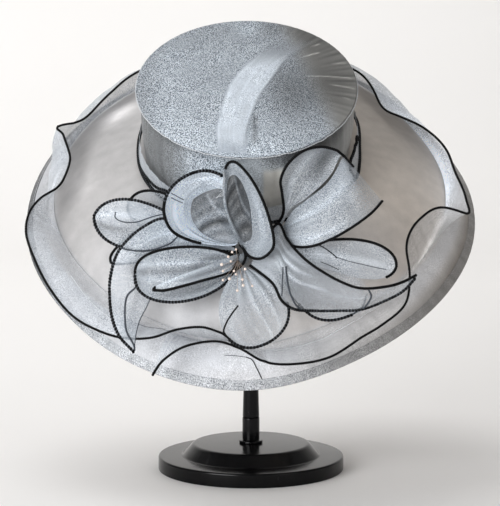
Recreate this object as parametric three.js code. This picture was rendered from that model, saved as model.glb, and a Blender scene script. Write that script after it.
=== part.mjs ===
// A summer hat of stiffened organza with a corded ruffle and a large ribbon flower,
// on the plain black stand that holds it.
// Millimetres, +Z up, front of the hat toward -Y, origin at the centre of the stand's underside.
import * as THREE from 'three';

// Cloth
const CLOTH = 1.2;          // wall of the brim and crown
const FINE_CLOTH = 1.0;     // wall of the ruffle, sash and petals
const GAP = 0.4;            // clearance between pieces sewn or stacked on each other

// Where the hat sits: its crown base is this far from the stand's foot, tipped forward
const HAT_PLACE = { x: -3.5, y: 0, z: 266, tilt: 32 };

// Crown: half widths across and front to back, at its base and at its tip
const CROWN = { baseX: 91, baseY: 99, tipX: 89, tipY: 98, height: 66, belly: 1.5 };
const CROWN_STEPS = 45;
const TIP_DOME = 3.0;       // rise of the tip's middle above its rim
const TIP_RINGS = 3;
const TIP_OVERHANG = 0.5;   // the tip's seam stands this proud of the side wall

// The doubled band of cloth that lies across the tip, in the tip's own plane:
// one row for each section from the front to the rear, left edge and right edge
const TIP_FOLD_ROWS = [
  // leftX, leftY, rightX, rightY
  [-24, -84, 1.5, -86],
  [-24.5, -62, 2, -62],
  [-19, -20, 12, -20],
  [-13, 2, 20.5, 2],
  [-1, 29, 32.5, 29],
  [14, 57, 50, 50],
  [24, 74, 60, 62],
];
const TIP_FOLD_STEPS = 12;

// Brim: width along its slope and slope below the crown's base plane, by azimuth
// (0 is the front, 90 the right side, 180 the rear, 270 the left side)
const BRIM_ROWS = [
  // width, slope, at every 30 degrees from the front
  [129.5, 46], [121.5, 41], [118, 32], [118, 31], [118, 30.5], [118, 23.5],
  [118, 23], [118, 27], [118, 32], [118, 36], [118.5, 38.5], [126, 46],
];
const BRIM_START = { x: 92, y: 100 };   // half widths of the crown opening in the brim
const BRIM_BULGE = 9;                   // how far the brim arches above a straight cone
const BRIM_UNDER = 4;                   // flat margin that runs in under the crown's side
const BRIM_STEPS = 54;
const BRIM_RINGS = 4;
const HEM = { width: 7, thick: 2.4 };   // turned and bound outer edge

// Ruffle: a strip gathered onto the brim, longer than one turn, its ends overlapping at the front.
// lean is how far its free edge waves outward from the seam, negative toward the crown.
const RUFFLE = { inset: 31, height: 36, follow: 0.55, tuck: 3, tuckFrom: 300, tuckOver: 30 };
const RUFFLE_ROWS = [
  // azimuth, lean
  [-22, 28], [-19, 15], [-14, 3], [-7, -3], [-1, 1], [5, 11], [12, 16], [20, 18.5],
  [28, 15], [34, 14], [41, 11], [45, -1], [49, -16], [54, -22.5], [60, -23], [66, -17],
  [70, 2], [74, -3], [82, -14], [92, -19.5], [103, -27], [114, -33], [125, -35], [140, -31],
  [155, -33], [175, -30.5], [195, -33], [218, -30], [232, -31], [245, -31], [251, -27.5],
  [254.5, -19], [258, -25], [267, -31], [277, -29], [283, -23], [285, -10], [287, 0],
  [291, 8], [299, 13], [306, 18], [314, 21.5], [322, 19], [330, 14.5], [337, 7],
  [343, -3], [349, -8], [354, -6], [356, -3],
];
const RUFFLE_STEPS = 120;
const RUFFLE_ACROSS = 4;
const CORD = { radius: 1.1, sides: 5 };

// Sash round the crown's base: how far its lower edge flares from the crown and how high it lies
const SASH_ROWS = [
  // azimuth, flare, lowerEdge
  [0, 2.5, 5], [30, 3, 6], [55, 4.5, 8], [65, 6.5, 9], [75, 4.5, 9], [90, 2.5, 10],
  [115, 4, 9], [150, 3, 6], [180, 3, 5], [210, 3, 5], [245, 3, 6], [270, 2, 8],
  [300, 2.5, 8], [330, 2.5, 6],
];
const SASH = { depth: 14, hug: 1.0, steps: 44, rings: 2 };

// Flower: its own frame has x across, y up the hat and z out toward the front
const FLOWER_PLACE = { x: -5.5, y: -112, z: 191.5, lean: 83.5 };
const CORE = { radius: 4.4, back: -16.5, front: 11, sides: 12 };

// Flat petals: root place, heading and rise in degrees, length, half widths left and right of
// the spine, bend in the flower's plane, arch toward the back, cup of the cross-section, and
// the two powers that set where the outline is widest
const PETALS = {
  petal_left_loop: {
    x: -6, y: 3, out: -10.5, heading: 159.5, rise: 6, length: 116.5, left: 20, right: 18.5,
    bend: 11.5, arch: -16, cup: 8, root: 1.62, tip: 0.59,
  },
  petal_left_back: {
    x: -6, y: 0, out: -13, heading: 159.5, rise: 1, length: 104.5, left: 9, right: 19.5,
    bend: 46, arch: -14, cup: 6, root: 0.93, tip: 0.69,
  },
  petal_left_rear: {
    x: -6, y: 5, out: -15.5, heading: 155.5, rise: -1, length: 96, left: 14, right: 18.5,
    bend: 0, arch: -18, cup: 4, root: 0.98, tip: 0.45,
  },
  petal_left_front: {
    x: -6, y: -3, out: 2, heading: 194.5, rise: 10, length: 80, left: 23, right: 19.5,
    bend: -14.5, arch: -16, cup: 9, root: 0.55, tip: 0.39,
  },
  petal_right_back: {
    x: 7, y: 0, out: -5, heading: 10, rise: 9, length: 113.5, left: 14.5, right: 15,
    bend: -28, arch: -16, cup: 10, root: 1.62, tip: 0.76,
  },
  petal_right_under: {
    x: 5, y: -5, out: -11, heading: -6, rise: 4, length: 99, left: 30.5, right: 26.5,
    bend: -30.5, arch: 0, cup: 6, root: 1.87, tip: 0.99,
  },
  petal_bottom: {
    x: 0, y: -7, out: 7, heading: -81, rise: 25, length: 65, left: 24.5, right: 29.5,
    bend: 22.5, arch: -8, cup: 6, root: 0.75, tip: 0.45,
  },
};
const PETAL = { steps: 11, across: 4, leastHalf: 1.2, crowding: 1.6, spineSteps: 64 };

// Folded leaves: one row for each section from the knot to the point, with the two edges
// and how far the middle bellies out toward the front
const LEAVES = {
  leaf_left_long: [
    // leftX, leftY, leftOut, rightX, rightY, rightOut, belly
    [-8.5, 9.5, -5, -6.5, 5.5, -6, 0],
    [-37, 26.5, -6.5, -24.5, 7, -6.5, 0],
    [-62.5, 31, -4, -49.5, 6, -6, 2],
    [-79, 24, -2, -66, 4, -5, 3],
    [-91.5, 13.5, -1, -76.5, -4, -5, 3],
    [-99.5, 2.5, -1, -82, -14, -5, 3],
    [-104, -13, -1, -87, -25, -5, 3],
    [-105, -26.5, 0, -91, -35, -3, 3],
    [-103, -45, 4, -92.5, -46, 1, 2],
    [-97, -60.5, 7, -90, -59, 6, 1],
    [-86, -72.5, 9, -85, -71.5, 8, 0],
  ],
  leaf_left_lip: [
    [-5, 3, 5, -5, -3, 9, 0],
    [-12.5, 0.5, 9, -11.5, -11, 15, 3],
    [-34, -8, 13, -34, -18, 20, 3],
    [-51, -14.5, 14, -48.5, -22, 20, 2],
    [-65, -20.5, 12, -61, -25, 16, 1],
    [-70.5, -23.5, 10, -70, -25, 12, 0],
  ],
  leaf_upper_wall: [
    [26.5, 26.5, -3, 29.5, 25.5, -3, 0],
    [31, 36.5, 5, 36.5, 38, 1, 0],
    [29.5, 50.5, 12, 47.5, 46, 2, -3],
    [28.5, 60.5, 15, 59, 55.5, 3, -6],
    [34, 72.5, 16, 68, 65.5, 3, -7],
    [45.5, 82.5, 15, 72.5, 74.5, 4, -5],
    [59, 86, 13, 75, 79, 5, -3],
    [71.5, 84, 10, 78, 79, 6, 0],
  ],
  leaf_upper_lip: [
    [29.5, 23, 1, 31, 16.5, 2, 0],
    [37.5, 36, 4, 37.5, 9.5, 8, 4],
    [48, 44.5, 6, 52, 9, 16, 7],
    [57.5, 51.5, 7, 67, 14.5, 21, 9],
    [65.5, 59, 7, 79, 21, 22, 9],
    [71, 67, 7, 90.5, 28.5, 18, 8],
    [75.5, 76, 9, 100, 36, 12, 7],
    [79, 76.5, 9, 107.5, 44, 4, 3],
  ],
  leaf_right_long: [
    [14, 11.5, 9, 14, -3, 7, 0],
    [26.5, 26.5, 8, 26.5, -18, 8, 4],
    [33.5, 14.5, 10, 29.5, -32.5, 8, 6],
    [44, 2, 14, 41, -38.5, 8, 7],
    [56.5, -8, 17, 56, -40, 8, 7],
    [75, -18.5, 18, 73, -41, 8, 6],
    [91, -23.5, 17, 91.5, -40, 8, 4],
    [111, -22, 13, 110.5, -33, 8, 2],
    [123.5, -18.5, 9, 123.5, -26, 8, 1],
    [133.5, -13.5, 7, 132.5, -16.5, 7, 0],
  ],
};
const LEAF = { steps: 14, across: 4 };

// Ribbon loops: one row for each place round the loop, its front edge and its back edge
const LOOPS = {
  loop_round: [
    // frontX, frontY, frontOut, backX, backY, backOut
    [-6, 10.5, 4, -5.5, 11.5, 0],
    [-24, 10, 9, -17, 12, -2],
    [-41.5, 13.5, 14, -29.5, 17, -4],
    [-55.5, 21, 19, -37.5, 24.5, -4],
    [-61.5, 34.5, 22, -41.5, 33.5, -4],
    [-59, 49, 23, -40.5, 44, -4],
    [-49, 60.5, 22, -35, 49, -3],
    [-34, 67, 20, -27.5, 52.5, -2],
    [-21, 65.5, 16, -18.5, 54, 0],
    [-14, 59, 11, -12.5, 47.5, 0],
    [-10, 42.5, 8, -8.5, 34.5, -1],
    [-7, 24, 6, -6, 21, -1],
  ],
  loop_upright: [
    [-0.5, 7, 13.5, -0.5, 12.5, 8.5],
    [4.5, 1, 19, 2.5, 13, 9],
    [13, -0.5, 25, 5, 14.5, 10],
    [21, 5.5, 29, 6.5, 18.5, 11],
    [23, 13.5, 31, 6, 28, 12],
    [19.5, 30, 32, 4.5, 41, 13],
    [13, 47.5, 31, 1.5, 51, 14],
    [4, 63, 28, -2.5, 59.5, 15],
    [-5.5, 73, 25, -7, 64, 16],
    [-12, 73, 22, -11, 62.5, 15],
    [-15.5, 64, 20, -13, 55.5, 14],
    [-16.5, 51, 18, -13.5, 45, 13],
    [-15, 37, 16, -11.5, 34, 11],
    [-8.5, 20, 13, -5.5, 21.5, 8],
  ],
};
const LOOP = { steps: 28, across: 2 };

// Stand: a round foot with a raised disc, a two-step post and a plain cap inside the crown
const FOOT = { radius: 78, height: 12, edge: 1.5 };
const DISC = { bottom: 56, top: 49, height: 10 };
const FLANGE = { radius: 9.8, height: 2 };
const SLEEVE = { radius: 7.2, top: 44, shoulder: 1 };
const POST = { bottom: 7.0, radius: 6.2, taperTop: 74 };
const CAP = { x: 3.5, y: 36, radius: 46, thick: 12, round: 5, depth: 2.2 };
const ROUND_SIDES = 36;
const POST_SIDES = 20;

const FINISHES = {
  crownCloth: { color: 0x9aa0a6, roughness: 0.62, metalness: 0.15 },
  brimCloth: { color: 0xb9b4ad, roughness: 0.6, metalness: 0.1 },
  ruffleCloth: { color: 0xccd1d6, roughness: 0.55, metalness: 0.1 },
  petalCloth: { color: 0xb4bac1, roughness: 0.55, metalness: 0.15 },
  hemCloth: { color: 0x8f9194, roughness: 0.7, metalness: 0.1 },
  cord: { color: 0x17181a, roughness: 0.6, metalness: 0.0 },
  blackPlastic: { color: 0x0b0b0c, roughness: 0.18, metalness: 0.0 },
};

const radians = THREE.MathUtils.degToRad;
const lerp = THREE.MathUtils.lerp;

// A value between b and c on the smooth curve through four even stations
function smooth(a, b, c, d, f) {
  const linear = (c - a) * f;
  const square = (2 * a - 5 * b + 4 * c - d) * f * f;
  const cube = (3 * b - a - 3 * c + d) * f * f * f;
  return 0.5 * (2 * b + linear + square + cube);
}

// The row of values at a place along a table, through every row, open at the ends or closed
function along(rows, place, closed = false) {
  const count = rows.length;
  const last = closed ? count - 1 : count - 2;
  const start = Math.min(Math.floor(place), last);
  const row = (k) => {
    if (closed) return rows[((k % count) + count) % count];
    if (k < 0) return rows[0].map((v, i) => 2 * v - rows[1][i]);
    if (k >= count) return rows[count - 1].map((v, i) => 2 * v - rows[count - 2][i]);
    return rows[k];
  };
  const [a, b, c, d] = [row(start - 1), row(start), row(start + 1), row(start + 2)];
  return b.map((_, i) => smooth(a[i], b[i], c[i], d[i], place - start));
}

// The row of a table at an azimuth, where the table is closed and its first column is azimuth
function atAzimuth(rows, azimuth) {
  const turn = ((azimuth % 360) + 360) % 360;
  let k = rows.length - 1;
  while (rows[k][0] > turn) k -= 1;
  const next = rows[(k + 1) % rows.length];
  const span = (next[0] - rows[k][0] + 360) % 360;
  return along(rows, k + (turn - rows[k][0]) / span, true);
}

// Even steps from 0 to 1, both ends included
function steps(count) {
  return Array.from({ length: count + 1 }, (_, i) => i / count);
}

// A closed body from its corner points and triangles, turned so that its faces point out
function body(points, triangles) {
  let volume = 0;
  for (const [a, b, c] of triangles) {
    volume += points[a].dot(new THREE.Vector3().crossVectors(points[b], points[c]));
  }
  const index = triangles.flatMap(([a, b, c]) => (volume > 0 ? [a, b, c] : [a, c, b]));
  const geometry = new THREE.BufferGeometry().setFromPoints(points);
  geometry.setIndex(index);
  geometry.computeVertexNormals();
  return geometry;
}

// Two triangles for the four-cornered patch a b c d
function patch(a, b, c, d) {
  return [[a, b, c], [a, c, d]];
}

// The direction square to a grid of points at one of its places
function gridNormal(grid, i, j, closed) {
  const rows = grid.length;
  const columns = grid[0].length;
  const before = closed ? (i + rows - 1) % rows : Math.max(i - 1, 0);
  const after = closed ? (i + 1) % rows : Math.min(i + 1, rows - 1);
  const alongWay = grid[after][j].clone().sub(grid[before][j]);
  const left = grid[i][Math.max(j - 1, 0)];
  const right = grid[i][Math.min(j + 1, columns - 1)];
  return alongWay.cross(right.clone().sub(left)).normalize();
}

// A sheet of cloth: a wall of the given thickness centred on a grid of points,
// open at both ends or closed on itself along its first direction
function sheet(grid, thickness, closed = false) {
  const rows = grid.length;
  const columns = grid[0].length;
  const points = [];
  for (const side of [0.5, -0.5]) {
    for (let i = 0; i < rows; i += 1) {
      for (let j = 0; j < columns; j += 1) {
        const normal = gridNormal(grid, i, j, closed);
        points.push(grid[i][j].clone().addScaledVector(normal, side * thickness));
      }
    }
  }
  const back = rows * columns;
  const at = (i, j) => (i % rows) * columns + j;
  const triangles = [];
  const spans = closed ? rows : rows - 1;
  for (let i = 0; i < spans; i += 1) {
    for (let j = 0; j + 1 < columns; j += 1) {
      const [a, b, c, d] = [at(i, j), at(i + 1, j), at(i + 1, j + 1), at(i, j + 1)];
      triangles.push(...patch(a, b, c, d), ...patch(back + a, back + d, back + c, back + b));
    }
    for (const j of [0, columns - 1]) {
      const [a, b] = j === 0 ? [at(i, 0), at(i + 1, 0)] : [at(i + 1, j), at(i, j)];
      triangles.push(...patch(a, back + a, back + b, b));
    }
  }
  if (!closed) {
    for (let j = 0; j + 1 < columns; j += 1) {
      const [a, b] = [at(0, j), at(0, j + 1)];
      const [c, d] = [at(rows - 1, j), at(rows - 1, j + 1)];
      triangles.push(...patch(a, b, back + b, back + a), ...patch(c, back + c, back + d, d));
    }
  }
  return body(points, triangles);
}

// A ring whose four-cornered section follows a closed run of stations
function bandRing(sections) {
  const count = sections.length;
  const size = sections[0].length;
  const points = sections.flat();
  const triangles = [];
  for (let i = 0; i < count; i += 1) {
    const next = (i + 1) % count;
    for (let k = 0; k < size; k += 1) {
      const turn = (k + 1) % size;
      triangles.push(...patch(i * size + k, next * size + k, next * size + turn, i * size + turn));
    }
  }
  return body(points, triangles);
}

// A round cord along an open run of points, with flat ends
function cordAlong(points, { radius, sides }) {
  const ring = [];
  let side = new THREE.Vector3(0, 0, 1);
  points.forEach((point, i) => {
    const ahead = points[Math.min(i + 1, points.length - 1)];
    const behind = points[Math.max(i - 1, 0)];
    const way = ahead.clone().sub(behind).normalize();
    side = side.clone().addScaledVector(way, -side.dot(way)).normalize();
    const other = new THREE.Vector3().crossVectors(way, side);
    for (let k = 0; k < sides; k += 1) {
      const turn = (2 * Math.PI * k) / sides;
      const spoke = side.clone().multiplyScalar(radius * Math.cos(turn));
      ring.push(point.clone().add(spoke).addScaledVector(other, radius * Math.sin(turn)));
    }
  });
  const triangles = [];
  for (let i = 0; i + 1 < points.length; i += 1) {
    for (let k = 0; k < sides; k += 1) {
      const next = (k + 1) % sides;
      const [a, b] = [i * sides + k, i * sides + next];
      triangles.push(...patch(a, b, b + sides, a + sides));
    }
  }
  const end = (points.length - 1) * sides;
  for (let k = 1; k + 1 < sides; k += 1) {
    triangles.push([0, k + 1, k], [end, end + k, end + k + 1]);
  }
  return body(ring, triangles);
}

// Point of the crown's outer face at an azimuth and a height above its base
function crownPoint(azimuth, height, proud = 0) {
  const share = height / CROWN.height;
  const belly = CROWN.belly * 4 * share * (1 - share);
  const halfX = lerp(CROWN.baseX, CROWN.tipX, share) + belly + proud;
  const halfY = lerp(CROWN.baseY, CROWN.tipY, share) + belly + proud;
  const turn = radians(azimuth);
  return new THREE.Vector3(halfX * Math.sin(turn), -halfY * Math.cos(turn), height);
}

// Width and slope of the brim at an azimuth
function brimRow(azimuth) {
  const place = (((azimuth % 360) + 360) % 360) / (360 / BRIM_ROWS.length);
  const [width, slope] = along(BRIM_ROWS, place, true);
  return { width, slope: radians(slope) };
}

// Point of the brim's upper face, by distance along its slope from the crown opening
function brimPoint(azimuth, distance) {
  const { width, slope } = brimRow(azimuth);
  const share = Math.max(distance, 0) / width;
  const reach = distance > 0 ? distance * Math.cos(slope) : distance;
  const arch = share < 1 ? BRIM_BULGE * 4 * share * (1 - share) : 0;
  const turn = radians(azimuth);
  return new THREE.Vector3(
    (BRIM_START.x + reach) * Math.sin(turn),
    -(BRIM_START.y + reach) * Math.cos(turn),
    -Math.max(distance, 0) * Math.sin(slope) + arch,
  );
}

// Outward and upward directions on the brim's upper face
function brimFrame(azimuth, distance) {
  const small = 0.1;
  const point = brimPoint(azimuth, distance);
  const outward = point.clone().sub(brimPoint(azimuth, distance - small)).normalize();
  const round = brimPoint(azimuth + small, distance).sub(brimPoint(azimuth - small, distance));
  const upward = new THREE.Vector3().crossVectors(outward, round).normalize();
  if (upward.z < 0) upward.negate();
  return { point, outward, upward };
}

// Crown side: a slightly bellied oval wall
function crownSide() {
  const heights = [GAP, 22, 44, CROWN.height];
  const grid = steps(CROWN_STEPS).slice(0, -1).map((share) => (
    heights.map((height) => crownPoint(share * 360, height, -CLOTH / 2))
  ));
  return sheet(grid, CLOTH, true);
}

// Crown tip: a shallow dome that closes the crown and stands a little proud at its seam
function crownTip() {
  const level = CROWN.height + GAP;
  const points = [];
  const rings = [];
  for (const side of [CLOTH, 0]) {
    for (let r = 1; r <= TIP_RINGS; r += 1) {
      rings.push(points.length);
      const share = r / TIP_RINGS;
      for (let i = 0; i < CROWN_STEPS; i += 1) {
        const rim = crownPoint((360 * i) / CROWN_STEPS, CROWN.height, TIP_OVERHANG);
        const rise = level + side + TIP_DOME * (1 - share * share);
        points.push(new THREE.Vector3(rim.x * share, rim.y * share, rise));
      }
    }
  }
  const top = points.push(new THREE.Vector3(0, 0, level + CLOTH + TIP_DOME)) - 1;
  const under = points.push(new THREE.Vector3(0, 0, level + TIP_DOME)) - 1;
  const triangles = [];
  for (let i = 0; i < CROWN_STEPS; i += 1) {
    const next = (i + 1) % CROWN_STEPS;
    const upperRings = rings.slice(0, TIP_RINGS);
    const lowerRings = rings.slice(TIP_RINGS);
    triangles.push([top, upperRings[0] + i, upperRings[0] + next]);
    triangles.push([under, lowerRings[0] + next, lowerRings[0] + i]);
    for (let r = 0; r + 1 < TIP_RINGS; r += 1) {
      const [u, v] = [upperRings[r], upperRings[r + 1]];
      triangles.push(...patch(u + i, v + i, v + next, u + next));
      const [s, t] = [lowerRings[r], lowerRings[r + 1]];
      triangles.push(...patch(s + next, t + next, t + i, s + i));
    }
    const [u, s] = [upperRings[TIP_RINGS - 1], lowerRings[TIP_RINGS - 1]];
    triangles.push(...patch(u + i, s + i, s + next, u + next));
  }
  return body(points, triangles);
}

// Height of the tip's upper face above the crown's base plane
function tipHeight(x, y) {
  const share = Math.hypot(x / (CROWN.tipX + TIP_OVERHANG), y / (CROWN.tipY + TIP_OVERHANG));
  return CROWN.height + GAP + CLOTH + TIP_DOME * (1 - share * share);
}

// The doubled band of cloth on the tip
function tipFold() {
  const lift = GAP + FINE_CLOTH;
  const grid = steps(TIP_FOLD_STEPS).map((share) => {
    const row = along(TIP_FOLD_ROWS, share * (TIP_FOLD_ROWS.length - 1));
    return steps(3).map((across) => {
      const x = lerp(row[0], row[2], across);
      const y = lerp(row[1], row[3], across);
      return new THREE.Vector3(x, y, tipHeight(x, y) + lift);
    });
  });
  return sheet(grid, FINE_CLOTH);
}

// Sash: a ribbon that hugs the crown above and flares below
function sash() {
  const grid = steps(SASH.steps).slice(0, -1).map((share) => {
    const azimuth = share * 360;
    const [, flare, lower] = atAzimuth(SASH_ROWS, azimuth);
    return steps(SASH.rings).map((up) => {
      const proud = lerp(flare + FINE_CLOTH, SASH.hug, Math.sqrt(up));
      return crownPoint(azimuth, lower + SASH.depth * up, proud);
    });
  });
  return sheet(grid, FINE_CLOTH, true);
}

// Brim: one curved sheet from under the crown's side out to the hem
function brim() {
  const grid = steps(BRIM_STEPS).slice(0, -1).map((share) => {
    const azimuth = share * 360;
    const { width } = brimRow(azimuth);
    const places = steps(BRIM_RINGS).map((t) => t * (width - HEM.width - GAP));
    return [-BRIM_UNDER, ...places].map((distance) => {
      const { point, upward } = brimFrame(azimuth, distance);
      return point.addScaledVector(upward, -CLOTH / 2);
    });
  });
  return sheet(grid, CLOTH, true);
}

// Hem: a flat bound band along the brim's outer edge
function brimHem() {
  const sections = steps(BRIM_STEPS).slice(0, -1).map((share) => {
    const azimuth = share * 360;
    const { width } = brimRow(azimuth);
    const inner = brimFrame(azimuth, width - HEM.width);
    const outer = brimFrame(azimuth, width);
    const up = (HEM.thick - CLOTH) / 2;
    const down = up - HEM.thick;
    return [
      inner.point.clone().addScaledVector(inner.upward, up),
      outer.point.clone().addScaledVector(outer.upward, up),
      outer.point.clone().addScaledVector(outer.upward, down),
      inner.point.clone().addScaledVector(inner.upward, down),
    ];
  });
  return bandRing(sections);
}

// Seam point, stiff direction and free edge of the ruffle at a place along its table
function ruffleSection(share, height) {
  const [azimuth, lean] = along(RUFFLE_ROWS, share * (RUFFLE_ROWS.length - 1));
  const covered = THREE.MathUtils.clamp((azimuth - RUFFLE.tuckFrom) / RUFFLE.tuckOver, 0, 1);
  const { width } = brimRow(azimuth);
  const inset = RUFFLE.inset + RUFFLE.tuck * covered;
  const seam = brimFrame(azimuth, width - inset);
  const edge = brimFrame(azimuth, Math.min(width - inset + lean, width));
  const beyond = Math.max(lean - inset, 0);
  const rise = Math.sqrt(RUFFLE.height ** 2 - lean ** 2);
  const free = edge.point.clone().addScaledVector(edge.upward, rise);
  free.addScaledVector(edge.outward, beyond);
  const root = seam.point.clone().addScaledVector(seam.upward, GAP + FINE_CLOTH / 2);
  const middle = root.clone().addScaledVector(seam.upward, RUFFLE.follow * RUFFLE.height);
  const section = new THREE.QuadraticBezierCurve3(root, middle, free);
  return section.getPoint(height);
}

// Ruffle: the standing strip, short of its free edge by the cord that is sewn there
function ruffle() {
  const top = 1 - (CORD.radius + 2 * GAP) / RUFFLE.height;
  const grid = steps(RUFFLE_STEPS).map((share) => (
    steps(RUFFLE_ACROSS - 1).map((height) => ruffleSection(share, height * top))
  ));
  return sheet(grid, FINE_CLOTH);
}

// The black cord along the ruffle's free edge
function ruffleCord() {
  return cordAlong(steps(RUFFLE_STEPS).map((share) => ruffleSection(share, 1)), CORD);
}

// One flat petal from its row: a spine that bends and arches, with a cupped cross-section
function petal(row) {
  const count = PETAL.spineSteps;
  const spine = [new THREE.Vector3(row.x, row.y, row.out)];
  const angles = steps(count).map((share) => ({
    turn: radians(row.heading + row.bend * share),
    rise: radians(row.rise + row.arch * share),
  }));
  const way = ({ turn, rise }) => new THREE.Vector3(
    Math.cos(rise) * Math.cos(turn),
    Math.cos(rise) * Math.sin(turn),
    Math.sin(rise),
  );
  for (let i = 0; i < count; i += 1) {
    const step = way(angles[i]).add(way(angles[i + 1])).multiplyScalar(row.length / count / 2);
    spine.push(spine[i].clone().add(step));
  }
  const widest = row.root / (row.root + row.tip);
  const outline = (share) => share ** row.root * (1 - share) ** row.tip;
  const grid = steps(PETAL.steps).map((even) => {
    const share = 1 - (1 - even) ** PETAL.crowding;
    const k = Math.min(Math.floor(share * count), count - 1);
    const f = share * count - k;
    const turn = lerp(angles[k].turn, angles[k + 1].turn, f);
    const rise = lerp(angles[k].rise, angles[k + 1].rise, f);
    const sideways = new THREE.Vector3(-Math.sin(turn), Math.cos(turn), 0);
    const forward = new THREE.Vector3(
      -Math.sin(rise) * Math.cos(turn),
      -Math.sin(rise) * Math.sin(turn),
      Math.cos(rise),
    );
    return steps(PETAL.across).map((across) => {
      const place = 2 * across - 1;
      const half = place > 0 ? row.left : row.right;
      const width = Math.max((half * outline(share)) / outline(widest), PETAL.leastHalf);
      const cup = radians(row.cup) * Math.abs(place);
      const reach = (width * Math.sin(cup)) / radians(row.cup) * Math.sign(place);
      const lift = (width * (1 - Math.cos(cup))) / radians(row.cup);
      const point = spine[k].clone().lerp(spine[k + 1], f);
      return point.addScaledVector(sideways, reach).addScaledVector(forward, lift);
    });
  });
  return sheet(grid, FINE_CLOTH);
}

// One folded leaf from its rows
function leaf(rows) {
  const grid = steps(LEAF.steps).map((share) => {
    const [leftX, leftY, leftOut, rightX, rightY, rightOut, belly] = along(
      rows,
      share * (rows.length - 1),
    );
    return steps(LEAF.across).map((across) => new THREE.Vector3(
      lerp(leftX, rightX, across),
      lerp(leftY, rightY, across),
      lerp(leftOut, rightOut, across) + belly * 4 * across * (1 - across),
    ));
  });
  return sheet(grid, FINE_CLOTH);
}

// One ribbon loop from its rows
function loop(rows) {
  const grid = steps(LOOP.steps).slice(0, -1).map((share) => {
    const [frontX, frontY, frontOut, backX, backY, backOut] = along(
      rows,
      share * rows.length,
      true,
    );
    return steps(LOOP.across).map((across) => new THREE.Vector3(
      lerp(frontX, backX, across),
      lerp(frontY, backY, across),
      lerp(frontOut, backOut, across),
    ));
  });
  return sheet(grid, FINE_CLOTH, true);
}

// Flower core: the bound stem that carries every petal
function flowerCore() {
  const profile = [
    new THREE.Vector2(0, CORE.back),
    new THREE.Vector2(CORE.radius, CORE.back),
    new THREE.Vector2(CORE.radius, CORE.front - 2),
    new THREE.Vector2(CORE.radius - 2, CORE.front),
    new THREE.Vector2(0, CORE.front),
  ];
  return new THREE.LatheGeometry(profile, CORE.sides).rotateX(Math.PI / 2);
}

// A turned piece of the stand from pairs of radius and height
function turned(pairs, sides) {
  const profile = pairs.map(([radius, height]) => new THREE.Vector2(radius, height));
  return new THREE.LatheGeometry(profile, sides).rotateX(Math.PI / 2);
}

// Foot with its raised disc
function standFoot() {
  const { radius, height, edge } = FOOT;
  const top = height + DISC.height;
  return turned([
    [0, 0], [radius - edge, 0], [radius, edge], [radius, height - edge], [radius - edge, height],
    [DISC.bottom + 2, height], [DISC.bottom, height + 1.5], [DISC.top + 1.5, top - 1.5],
    [DISC.top, top], [0, top],
  ], ROUND_SIDES);
}

// Thin flange under the post
function standFlange() {
  const bottom = FOOT.height + DISC.height + GAP;
  const { radius, height } = FLANGE;
  return turned([
    [0, bottom], [radius, bottom], [radius, bottom + height - 0.6], [radius - 0.6, bottom + height],
    [0, bottom + height],
  ], POST_SIDES);
}

// Lower sleeve of the post
function standSleeve() {
  const bottom = FOOT.height + DISC.height + GAP + FLANGE.height + GAP;
  const { radius, top, shoulder } = SLEEVE;
  return turned([
    [0, bottom], [radius, bottom], [radius, top - shoulder], [radius - shoulder, top], [0, top],
  ], POST_SIDES);
}

// Height of the cap's flat underside in the hat's own frame
function capUnderside() {
  return CROWN.height - CAP.depth - CAP.thick;
}

// Upper post: tapers above the sleeve and ends flush with the slanted underside of the cap
function standPost() {
  const bottom = SLEEVE.top + GAP;
  const tilt = radians(HAT_PLACE.tilt);
  const under = capUnderside() - GAP / Math.cos(tilt);
  const slantAt = (y) => HAT_PLACE.z + (under + (y - HAT_PLACE.y) * Math.sin(tilt)) / Math.cos(tilt);
  const top = slantAt(0);
  const geometry = turned([
    [0, bottom], [POST.bottom, bottom], [POST.radius, POST.taperTop], [POST.radius, top], [0, top],
  ], POST_SIDES);
  const places = geometry.attributes.position;
  for (let i = 0; i < places.count; i += 1) {
    if (Math.abs(places.getZ(i) - top) < 0.01) places.setZ(i, slantAt(places.getY(i)));
  }
  return geometry;
}

// Cap: the plain disc inside the crown that the hat rests on
function standCap() {
  const bottom = capUnderside();
  const top = bottom + CAP.thick;
  const { radius, round } = CAP;
  const corner = steps(3).map((share) => {
    const turn = (share * Math.PI) / 2;
    return [radius - round + round * Math.cos(turn), top - round + round * Math.sin(turn)];
  });
  return turned([[0, bottom], [radius, bottom], ...corner, [0, top]], ROUND_SIDES);
}

// A named piece with its own finish
function piece(name, geometry, finish) {
  const mesh = new THREE.Mesh(geometry, new THREE.MeshStandardMaterial(FINISHES[finish]));
  mesh.name = name;
  return mesh;
}

const stand = new THREE.Group();
stand.add(
  piece('stand_foot', standFoot(), 'blackPlastic'),
  piece('stand_flange', standFlange(), 'blackPlastic'),
  piece('stand_sleeve', standSleeve(), 'blackPlastic'),
  piece('stand_post', standPost(), 'blackPlastic'),
);

const hat = new THREE.Group();
hat.position.set(HAT_PLACE.x, HAT_PLACE.y, HAT_PLACE.z);
hat.rotation.x = radians(HAT_PLACE.tilt);
hat.add(
  piece('crown_side', crownSide(), 'crownCloth'),
  piece('crown_tip', crownTip(), 'crownCloth'),
  piece('crown_tip_fold', tipFold(), 'crownCloth'),
  piece('crown_sash', sash(), 'petalCloth'),
  piece('brim', brim(), 'brimCloth'),
  piece('brim_hem', brimHem(), 'hemCloth'),
  piece('ruffle', ruffle(), 'ruffleCloth'),
  piece('ruffle_cord', ruffleCord(), 'cord'),
);
const cap = piece('stand_cap', standCap(), 'blackPlastic');
cap.position.set(CAP.x, CAP.y, 0);
hat.add(cap);

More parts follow.
